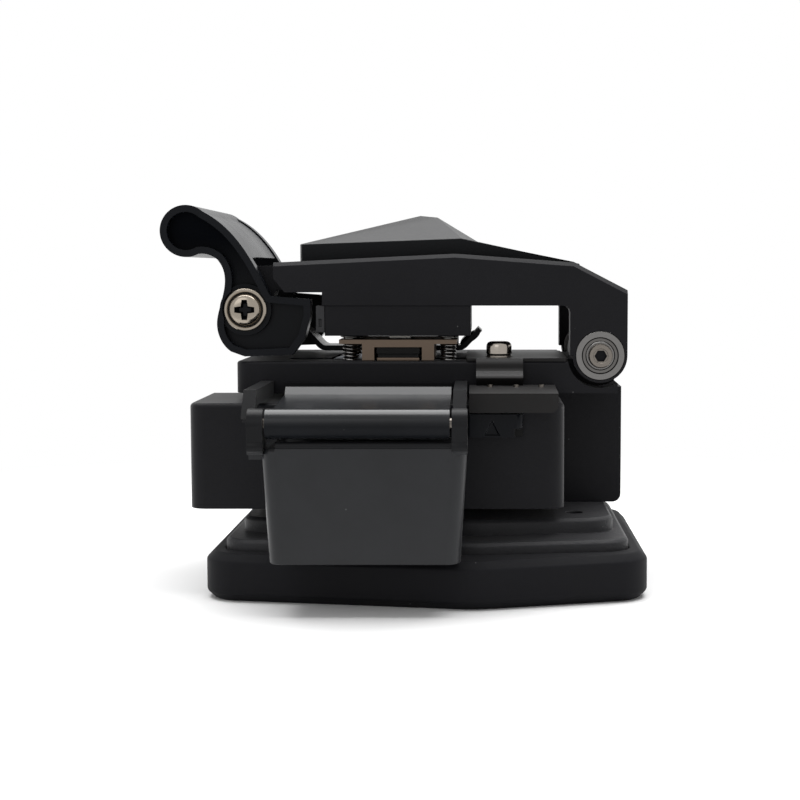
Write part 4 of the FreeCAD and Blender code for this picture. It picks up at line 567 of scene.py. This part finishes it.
def notch_tab(soft):
    """The index tab's lower corner is cut away, and the cut faces take the second finish, painted
    shadow.
    """
    low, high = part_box("index_tab")
    left, right = high[0] / MM - NOTCH_LENGTH, high[0] / MM + PAST_EDGE
    bottom, top = low[2] / MM - PAST_EDGE, low[2] / MM + NOTCH_HEIGHT
    front, back = low[1] / MM - PAST_EDGE, low[1] / MM + NOTCH_DEPTH
    knife = prism([(left, front), (right, front), (right, back), (left, back)], bottom, top)
    cut = cut_by(soft.copy(), knife)
    soft.clear()
    soft.from_mesh(cut)
    bpy.data.meshes.remove(cut)
    for face in soft.faces:
        face.smooth = True
        middle = face.calc_center_median() / MM
        small = face.calc_area() < NOTCH_LARGEST_FACE * MM ** 2
        if middle.x > left - CLOSE and middle.z < top + CLOSE and small:
            face.material_index = 1


def finish_bin(soft):
    """The tray's bottom edge is well rounded all round, and the ears take the second finish."""
    floor_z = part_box("scrap_bin")[0][2]
    rim = [e for e in soft.edges if all(abs(v.co.z - floor_z) < 2 * CLOSE * MM for v in e.verts)]
    bmesh.ops.bevel(soft, geom=rim, offset=BIN_ROUND * MM, offset_type="OFFSET",
                    segments=BIN_ROUND_STEPS, profile=0.5, affect="EDGES", clamp_overlap=True)
    for face in soft.faces:
        face.smooth = True
        if face.calc_center_median().z > EAR_FOOT * MM:
            face.material_index = 1


RESHAPED = {"scrap_bin": finish_bin, "collector_plate": roll_clip,
            "thumb_lever": paint_lever_recess_shade, "index_tab": notch_tab}
# Second finishes: painted shade on the lever's recess floors and painted shadow in the tab's notch;
# the bin's ears take a darker plastic.
EXTRA_FINISH = {"thumb_lever": recess_painted_shade, "scrap_bin": ear_black, "index_tab": shadow}
print("reshaped:", sorted(RESHAPED))

# %% [markdown]
# ## Soft edges on the black pieces
# A machined or moulded edge is never a knife edge: a radius between a tenth and half a millimetre
# catches a thin line of light, and on black that line is most of what the eye sees. The frame's
# edges are sharp, so a copy of each hard piece has its facets merged and a Bevel modifier on its
# real edges.

# %% A rounded stand-in for each hard-edged node
WELD_GAP = 2e-6                     # metres, joins the loose triangles of a node
FLAT_WITHIN = math.radians(0.4)
EDGE_STEPS = 2
EDGE_ANGLE = math.radians(32)
FLAT_WEIGHT = 60


def merged_copy(name, piece_name):
    mesh = nodes[name].data.copy()
    soft = bmesh.new()
    soft.from_mesh(mesh)
    bmesh.ops.remove_doubles(soft, verts=soft.verts, dist=WELD_GAP)
    bmesh.ops.dissolve_limit(
        soft, angle_limit=FLAT_WITHIN, verts=soft.verts, edges=soft.edges)
    for face in soft.faces:
        face.smooth = True
    if name in RESHAPED:
        RESHAPED[name](soft)
    soft.to_mesh(mesh)
    soft.free()
    if name in EXTRA_FINISH:
        mesh.materials.append(EXTRA_FINISH[name])
    return link(piece_name, mesh)


def link(piece_name, mesh):
    piece = bpy.data.objects.new(piece_name, mesh)
    bpy.context.scene.collection.objects.link(piece)
    return piece


def stand_for(piece, name):
    """The piece rides with the node's body and is shown in its place."""
    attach(piece, body_of[name])
    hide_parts(name)
    return piece


def soften(name, piece_name, width):
    piece = merged_copy(name, piece_name)
    bevel = piece.modifiers.new("edge radius", "BEVEL")
    bevel.width = width * MM
    bevel.segments = EDGE_STEPS
    bevel.limit_method = "ANGLE"
    bevel.angle_limit = EDGE_ANGLE
    bevel.use_clamp_overlap = True
    flat = piece.modifiers.new("flat faces stay flat", "WEIGHTED_NORMAL")
    flat.weight = FLAT_WEIGHT
    return stand_for(piece, name)


# The piece that stands for each node, and the width of its bevel in millimetres.
SOFT_EDGES = {
    "arm_casting": ("arm", 0.25), "arm_cover": ("arm_hood", 0.22), "deck_plate": ("deck", 0.25),
    "main_frame": ("frame_block", 0.3), "slider_block": ("slider", 0.3),
    "clamp_housing": ("clamp_block", 0.2), "index_tab": ("slider_tab", 0.2),
    "scrap_bin": ("bin", 0.22), "bin_lid": ("lid", 0.2), "thumb_lever": ("lever", 0.22),
    "upper_brackets": ("clamp_brackets", 0.1), "collector_plate": ("collector_bracket", 0.08),
    "lever_catch": ("catch_blocks", 0.12), "fibre_guard": ("guard_strip", 0.15),
    "base_boot": ("boot", 0.45), "base_plate": ("base_steps", 0.25),
    "fibre_guide": ("guide_block", 0.15), "lower_clamps": ("clamp_jaws", 0.1),
    "anvil": ("anvil_block", 0.08),
}
for name, (piece_name, width) in SOFT_EDGES.items():
    soften(name, piece_name, width)
print("rounded pieces:", len(SOFT_EDGES))

# %% [markdown]
# ### Lever screws
# The lever turns on cross-head screws with a washer flange rolled in one piece. The rim is
# stepped, with painted shadow in its groove, the head is low and domed, and the recess is dark
# inside with painted shade: its faces take the dark blackening finish.

# %% Lever screws with a cross recess
PIVOT = (-33.2, 51.0)               # x and z of the lever's shaft
HINGE = (31.4, 42.65)               # x and z of the hinge shaft
flange = [
    (0, -6.9, 0), (1.25, -6.9, 0), (1.25, 0, 0), (3.7, 0, 0), (3.85, 0.12, 0), (3.85, 0.5, 0),
    (3.72, 0.6, 0), (3.35, 0.6, 0), (3.2, 0.42, 2), (3.0, 0.42, 0), (2.85, 0.62, 0), (2.8, 0.9, 0),
    (2.55, 1.2, 0), (2.1, 1.4, 0), (1.4, 1.5, 0), (0, 1.5, 0)]


def paint_recess_shade(mesh, low, high, reach):
    """Faces between two heights and near the axis take the second finish, which paints shade in the
    recess.
    """
    deep = [face for face in mesh.polygons
            if low * MM < face.center.z < high * MM and face.center.xy.length < reach * MM]
    for face in deep:
        face.material_index = 1
    return len(deep)


arm_half, tip = 0.62, 2.0
neck, corner = arm_half * 0.85, arm_half * 1.12
one_arm = ((tip, neck), (corner, corner), (neck, tip))
star = []
for quarter in range(4):
    c, s = round(math.cos(quarter * math.pi / 2)), round(math.sin(quarter * math.pi / 2))
    star += [(x * c - y * s, x * s + y * c) for x, y in one_arm]
screw = cut_by(turn(flange), prism(star, 0.35, 1.7, taper=0.55))
print("lever screws: recess faces", paint_recess_shade(screw, 0.3, 1.36, 1.9))
work = on_both_sides(screw, PIVOT, -14.3, 28.3)
finished(work, "pivot_screws", "lever_screws", [plating, oxide_and_recess_shade, shadow])

# %% [markdown]
# ### Hinge bearings and their screws
# A shielded miniature bearing shows four rings: outer race, gap, pressed shield, inner race. The
# cap screw that clamps it has a knurled rim and a hexagon socket.

# %% Bearings
# The third number picks the finish; the gaps' faces take painted shadow.
race = [
    (2.02, 0, 0), (2.5, 0, 0), (2.56, -0.06, 2), (2.56, -0.3, 2), (2.66, -0.3, 1), (2.7, -0.16, 1),
    (3.16, -0.2, 1), (3.2, -0.3, 2), (3.32, -0.3, 2), (3.32, -0.06, 0), (3.38, 0, 0), (4.38, 0, 0),
    (4.5, -0.12, 0), (4.5, -4.0, 0), (2.02, -4.0, 0), (2.02, 0, 0)]
work = on_both_sides(tool_mesh(turn(race), "race"), HINGE, -15.0, 29.0)
finished(work, "hinge_bearings", "arm_bearings", [race_steel, shield, shadow])

cap = [
    (0, -7.0, 0), (1.25, -7.0, 0), (1.25, 0, 0), (2.1, 0, 0), (2.25, 0.12, 0), (2.25, 1.02, 0),
    (2.02, 1.3, 0), (1.35, 1.3, 0), (1.28, 1.22, 0), (0, 1.22, 0)]
socket_reach = 1.155                # axis to a corner of the hexagon
hexagon = [(socket_reach * math.cos(math.pi / 3 * i), socket_reach * math.sin(math.pi / 3 * i))
           for i in range(6)]
# The socket's faces take the same painted shade.
cap_screw = cut_by(turn(cap, 72, knurled=(4, 5)), prism(hexagon, 0.4, 1.5))
print("hinge: a bearing and a cap screw each side, socket faces",
      paint_recess_shade(cap_screw, 0.2, 1.15, 1.2))
work = on_both_sides(cap_screw, HINGE, -15.1, 29.1)
finished(work, "hinge_caps", "hinge_screws", [cap_steel, oxide_and_recess_shade])

# %% [markdown]
# ### Locating pin
# The scrap collector clips over a hard steel pin. It has a rounded shoulder, so the clip can ride
# up over it, and a fine groove where it leaves the plate.

# %% Locating pin
PIN_PLACE = Vector((13.0, -11.0, 0))
pin = [
    (0, 38.6, 0), (2.33, 38.6, 0), (2.33, 42.5, 0), (2.2, 42.6, 1), (2.2, 42.8, 0), (2.33, 42.9, 0),
    (2.33, 44.2, 0), (2.24, 44.6, 0), (2.0, 44.92, 0), (1.6, 45.1, 0), (1.1, 45.15, 0),
    (0, 45.15, 0)]
work = turn(pin)
bmesh.ops.translate(work, verts=work.verts, vec=PIN_PLACE * MM)
# The groove's faces take painted shadow.
finished(work, "pin", "locating_pin", [pin_steel, shadow])
print("locating pin turned")

# %% [markdown]
# ### Nose of the fibre guard
# The guard's free end isn't a cut edge: a moulded nose is pressed over it, so that a fibre slides
# under instead of catching. It's an oval bar with round ends across the strip.

# %% Guard nose
nose_length, nose_height, nose_tilt = 2.3, 0.8, math.radians(33)
nose_back, nose_drop = 2.35, 2.1    # from the guard's free end and top to the nose's middle
end_round, end_steps, nose_sides = 0.6, 6, 40
guard_low, guard_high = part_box("fibre_guard")
half_width = (guard_high[1] - guard_low[1]) / 2 / MM
profile = [(0, -half_width, 0)]
for i in range(1, end_steps + 1):
    angle = math.pi / 2 * i / end_steps
    profile.append((math.sin(angle), -half_width + end_round * (1 - math.cos(angle)), 0))
profile += [(radius, -height, 0) for radius, height, _ in profile[::-1]]
work = turn(profile, nose_sides)
shape = Matrix.Rotation(-nose_tilt, 4, "Y") @ Matrix.Diagonal((nose_length, 1, nose_height, 1))
centre = Vector((guard_high[0] / MM - nose_back, (guard_low[1] + guard_high[1]) / 2 / MM,
                 guard_high[2] / MM - nose_drop))
work.transform(Matrix.Translation(centre * MM) @ shape @ Matrix.Rotation(math.pi / 2, 4, "X"))
nose_mesh = tool_mesh(work, "guard_nose")
nose_mesh.materials.append(finish["black_plastic"])
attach(link("guard_nose", nose_mesh), body_of["fibre_guard"])
print("guard nose", round(2 * half_width, 1), "mm wide")

# %% [markdown]
# ## Wound springs
# The lift springs, the clamp springs and the lever's return spring are the same thing in three
# sizes: wire on a helix. A Geometry Nodes tree sweeps a round wire along a spiral and sets one on
# each seat, so one tree winds all of them from named inputs.

# %% The coil tree
COIL_STEPS, WIRE_SIDES = 28, 10


def build_coil_tree():
    tree = bpy.data.node_groups.new("coil spring", "GeometryNodeTree")
    tree.interface.new_socket("Seats", in_out="INPUT", socket_type="NodeSocketGeometry")
    for label in ("Coil Radius", "Wire Radius", "Length", "Turns"):
        tree.interface.new_socket(label, in_out="INPUT", socket_type="NodeSocketFloat")
    tree.interface.new_socket("Tilt", in_out="INPUT", socket_type="NodeSocketVector")
    tree.interface.new_socket("Finish", in_out="INPUT", socket_type="NodeSocketMaterial")
    tree.interface.new_socket("Coils", in_out="OUTPUT", socket_type="NodeSocketGeometry")
    entry = tree.nodes.new("NodeGroupInput")
    result = tree.nodes.new("NodeGroupOutput")
    helix = tree.nodes.new("GeometryNodeCurveSpiral")
    helix.inputs["Resolution"].default_value = COIL_STEPS
    feed(tree, helix.inputs["Rotations"], entry.outputs["Turns"])
    feed(tree, helix.inputs["Start Radius"], entry.outputs["Coil Radius"])
    feed(tree, helix.inputs["End Radius"], entry.outputs["Coil Radius"])
    feed(tree, helix.inputs["Height"], entry.outputs["Length"])
    wire = tree.nodes.new("GeometryNodeCurvePrimitiveCircle")
    wire.inputs["Resolution"].default_value = WIRE_SIDES
    feed(tree, wire.inputs["Radius"], entry.outputs["Wire Radius"])
    sweep = tree.nodes.new("GeometryNodeCurveToMesh")
    sweep.inputs["Fill Caps"].default_value = True
    feed(tree, sweep.inputs["Curve"], helix.outputs["Curve"])
    feed(tree, sweep.inputs["Profile Curve"], wire.outputs["Curve"])
    smooth = tree.nodes.new("GeometryNodeSetShadeSmooth")
    feed(tree, smooth.inputs["Geometry"], sweep.outputs["Mesh"])
    scatter = tree.nodes.new("GeometryNodeInstanceOnPoints")
    feed(tree, scatter.inputs["Points"], entry.outputs["Seats"])
    feed(tree, scatter.inputs["Instance"], smooth.outputs["Geometry"])
    feed(tree, scatter.inputs["Rotation"], entry.outputs["Tilt"])
    real = tree.nodes.new("GeometryNodeRealizeInstances")
    feed(tree, real.inputs["Geometry"], scatter.outputs["Instances"])
    paint = tree.nodes.new("GeometryNodeSetMaterial")
    feed(tree, paint.inputs["Geometry"], real.outputs["Geometry"])
    feed(tree, paint.inputs["Material"], entry.outputs["Finish"])
    feed(tree, result.inputs["Coils"], paint.outputs["Geometry"])
    return tree


def set_input(modifier, label, value):
    for item in modifier.node_group.interface.items_tree:
        if item.item_type == "SOCKET" and item.in_out == "INPUT" and item.name == label:
            modifier[item.identifier] = value
            return
    raise ValueError("no input named " + label)


def made_real(host, piece_name):
    """The evaluated result of a host object as a plain mesh piece."""
    graph = bpy.context.evaluated_depsgraph_get()
    mesh = bpy.data.meshes.new_from_object(host.evaluated_get(graph))
    bpy.data.objects.remove(host)
    return link(piece_name, mesh)


COIL_TREE = build_coil_tree()
print("coil tree:", len(COIL_TREE.nodes), "nodes")

# %% [markdown]
# ### Where the springs go
# The frame fills each spring's room with a plain sleeve, and one node can hold several sleeves.
# The loose vertices are walked edge by edge, and each group that hangs together is one sleeve
# with a box of its own.

# %% Find the sleeves that the springs fill
def sleeve_boxes(name):
    """Low and high corner of each separate sleeve of a node."""
    parts = bmesh.new()
    parts.from_mesh(nodes[name].data)
    bmesh.ops.remove_doubles(parts, verts=parts.verts, dist=WELD_GAP)
    boxes, seen = [], set()
    for start in parts.verts:
        if start in seen:
            continue
        seen.add(start)
        heap, group = [start], []
        while heap:
            vert = heap.pop()
            group.append(vert.co.copy())
            ends = [edge.other_vert(vert) for edge in vert.link_edges]
            fresh = [end for end in ends if end not in seen]
            seen.update(fresh)
            heap += fresh
        low = Vector([min(co[i] for co in group) for i in range(3)])
        high = Vector([max(co[i] for co in group) for i in range(3)])
        boxes.append((low, high))
    parts.free()
    return boxes


print("sleeves:", {name: len(sleeve_boxes(name)) for name in nodes if name.endswith("_spring")
                   or name.endswith("_springs")})

# %% [markdown]
# ### Wind them
# Each seat lies half a wire inside its sleeve, so the coil fills the same room as the sleeve did.
# The clamp springs sit between a bracket that floats and a housing that doesn't.

# %% Wind the springs
UPRIGHT, ALONG_SHAFT = 2, 1         # axis that a spring's coil climbs along


def wind(name, piece_name, wire, turns, axis):
    """One coil in each sleeve of the node, along Z or along Y."""
    boxes = sleeve_boxes(name)
    low, high = boxes[0]
    length = (high - low)[axis]
    radius = (high - low)[0] / 2 - wire
    seats = []
    for low, high in boxes:
        seat = (low + high) / 2
        seat[axis] = low[axis] + wire if axis == UPRIGHT else high[axis] - wire
        seats.append(tuple(seat))
    mesh = bpy.data.meshes.new(piece_name + " seats")
    mesh.from_pydata(seats, [], [])
    host = link(piece_name + " host", mesh)
    modifier = host.modifiers.new("wind", "NODES")
    modifier.node_group = COIL_TREE
    set_input(modifier, "Coil Radius", radius)
    set_input(modifier, "Wire Radius", wire)
    set_input(modifier, "Length", length - 2 * wire)
    set_input(modifier, "Turns", turns)
    set_input(modifier, "Tilt", (0, 0, 0) if axis == UPRIGHT else (math.pi / 2, 0, 0))
    set_input(modifier, "Finish", finish[slot_of[name]])
    print(piece_name, len(seats), "coils of", turns, "turns")
    return stand_for(made_real(host, piece_name), name)


wind("lift_springs", "deck_springs", 0.24 * MM, 5.5, UPRIGHT)
wind("lever_spring", "return_spring", 0.35 * MM, 7.0, ALONG_SHAFT)
top_springs = wind("clamp_springs", "housing_springs", 0.22 * MM, 5.5, UPRIGHT)
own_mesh(top_springs)

# %% [markdown]
# ## Set, light and camera
# The set is a plain pale sweep that fades to white. Black pieces show form only where they mirror
# something bright, so the light is a wide soft panel overhead and a weaker one in front.

# %% Floor and world
AMBIENT_STRENGTH, BACKDROP_STRENGTH = 0.45, 1.0
FLOOR_HALF = 3.0
FLOOR_WHITE, FLOOR_ROUGHNESS = (0.93, 0.93, 0.93, 1), 0.9
FADE_START, FADE_END = 0.07, 0.2    # metres from the middle, over which the floor turns white


def backdrop_mask(tree):
    """One for rays that see the background: straight from the camera, mirrored or through glass."""
    path = tree.nodes.new("ShaderNodeLightPath")
    mirrored = calc(
        tree, "MAXIMUM", path.outputs["Is Glossy Ray"], path.outputs["Is Transmission Ray"])
    return calc(tree, "MAXIMUM", path.outputs["Is Camera Ray"], mirrored)


def mix_shaders(tree, factor, first, second, target):
    mix = tree.nodes.new("ShaderNodeMixShader")
    tree.links.new(factor, mix.inputs[0])
    tree.links.new(first, mix.inputs[1])
    tree.links.new(second, mix.inputs[2])
    tree.links.new(mix.outputs[0], target)


def build_world():
    world = bpy.data.worlds.new("studio")
    bpy.context.scene.world = world
    world.use_nodes = True
    tree = world.node_tree
    ambient = tree.nodes["Background"]
    ambient.inputs["Color"].default_value = (1, 1, 1, 1)
    ambient.inputs["Strength"].default_value = AMBIENT_STRENGTH
    white = tree.nodes.new("ShaderNodeBackground")
    white.inputs["Color"].default_value = (1, 1, 1, 1)
    white.inputs["Strength"].default_value = BACKDROP_STRENGTH
    mix_shaders(tree, backdrop_mask(tree), ambient.outputs[0], white.outputs[0],
                tree.nodes["World Output"].inputs["Surface"])


def build_floor():
    corners = [(x * FLOOR_HALF, y * FLOOR_HALF, 0) for x, y in ((-1, -1), (1, -1), (1, 1), (-1, 1))]
    mesh = bpy.data.meshes.new("floor")
    mesh.from_pydata(corners, [], [(0, 1, 2, 3)])
    material, tree, shader = start_material("pale floor")
    shader.inputs["Base Color"].default_value = FLOOR_WHITE
    shader.inputs["Roughness"].default_value = FLOOR_ROUGHNESS
    white = tree.nodes.new("ShaderNodeEmission")
    distance = tree.nodes.new("ShaderNodeVectorMath")
    distance.operation = "LENGTH"
    tree.links.new(object_coords(tree), distance.inputs[0])
    fade = map_range(tree, distance.outputs["Value"], 0, 1, FADE_START, FADE_END)
    factor = calc(tree, "MULTIPLY", backdrop_mask(tree), fade)
    output = tree.nodes["Material Output"].inputs["Surface"]
    mix_shaders(tree, factor, shader.outputs[0], white.outputs[0], output)
    mesh.materials.append(material)
    link("floor", mesh)


def panel(name, place, target, size, power):
    light = bpy.data.lights.new(name, "AREA")
    light.shape = "RECTANGLE"
    light.size, light.size_y = size
    light.energy = power
    lamp = bpy.data.objects.new(name, light)
    lamp.location = place
    lamp.rotation_euler = (Vector(target) - Vector(place)).to_track_quat("-Z", "Y").to_euler()
    bpy.context.scene.collection.objects.link(lamp)


build_world()
build_floor()
middle = (cad_low + cad_high) / 2
panel("overhead panel", (0.0, 0.10, 0.55), middle, (0.7, 0.5), 5.8)
panel("front panel", (-0.25, -0.6, 0.35), middle, (0.4, 0.4), 0.5)
print("panels aimed at", [round(v / MM, 1) for v in middle])

# %% [markdown]
# ### Camera
# A long lens, level with the arm and tipped down a few degrees, square to the tool's side. The
# picture is shifted sideways and the lens isn't turned, so upright edges and the side stay
# square.

# %% Camera
CAMERA_PLACE = Vector((9.5, -305.0, 58.2)) * MM
CAMERA_TIP = math.radians(4.6595758)
CAMERA_SENSOR, CAMERA_FOCAL = 36, 71.775
CAMERA_SHIFT = -0.1
CAMERA_NEAREST = 0.01

camera_data = bpy.data.cameras.new("camera")
camera_data.sensor_width = CAMERA_SENSOR
camera_data.lens = CAMERA_FOCAL
camera_data.shift_x = CAMERA_SHIFT
camera_data.clip_start = CAMERA_NEAREST
camera = bpy.data.objects.new("camera", camera_data)
camera.location = CAMERA_PLACE
camera.rotation_euler = (math.pi / 2 - CAMERA_TIP, 0, 0)
bpy.context.scene.collection.objects.link(camera)
bpy.context.scene.camera = camera
bpy.context.scene.view_settings.view_transform = "Standard"
print("camera: lens", CAMERA_FOCAL, "mm, tipped down", round(math.degrees(CAMERA_TIP), 2))
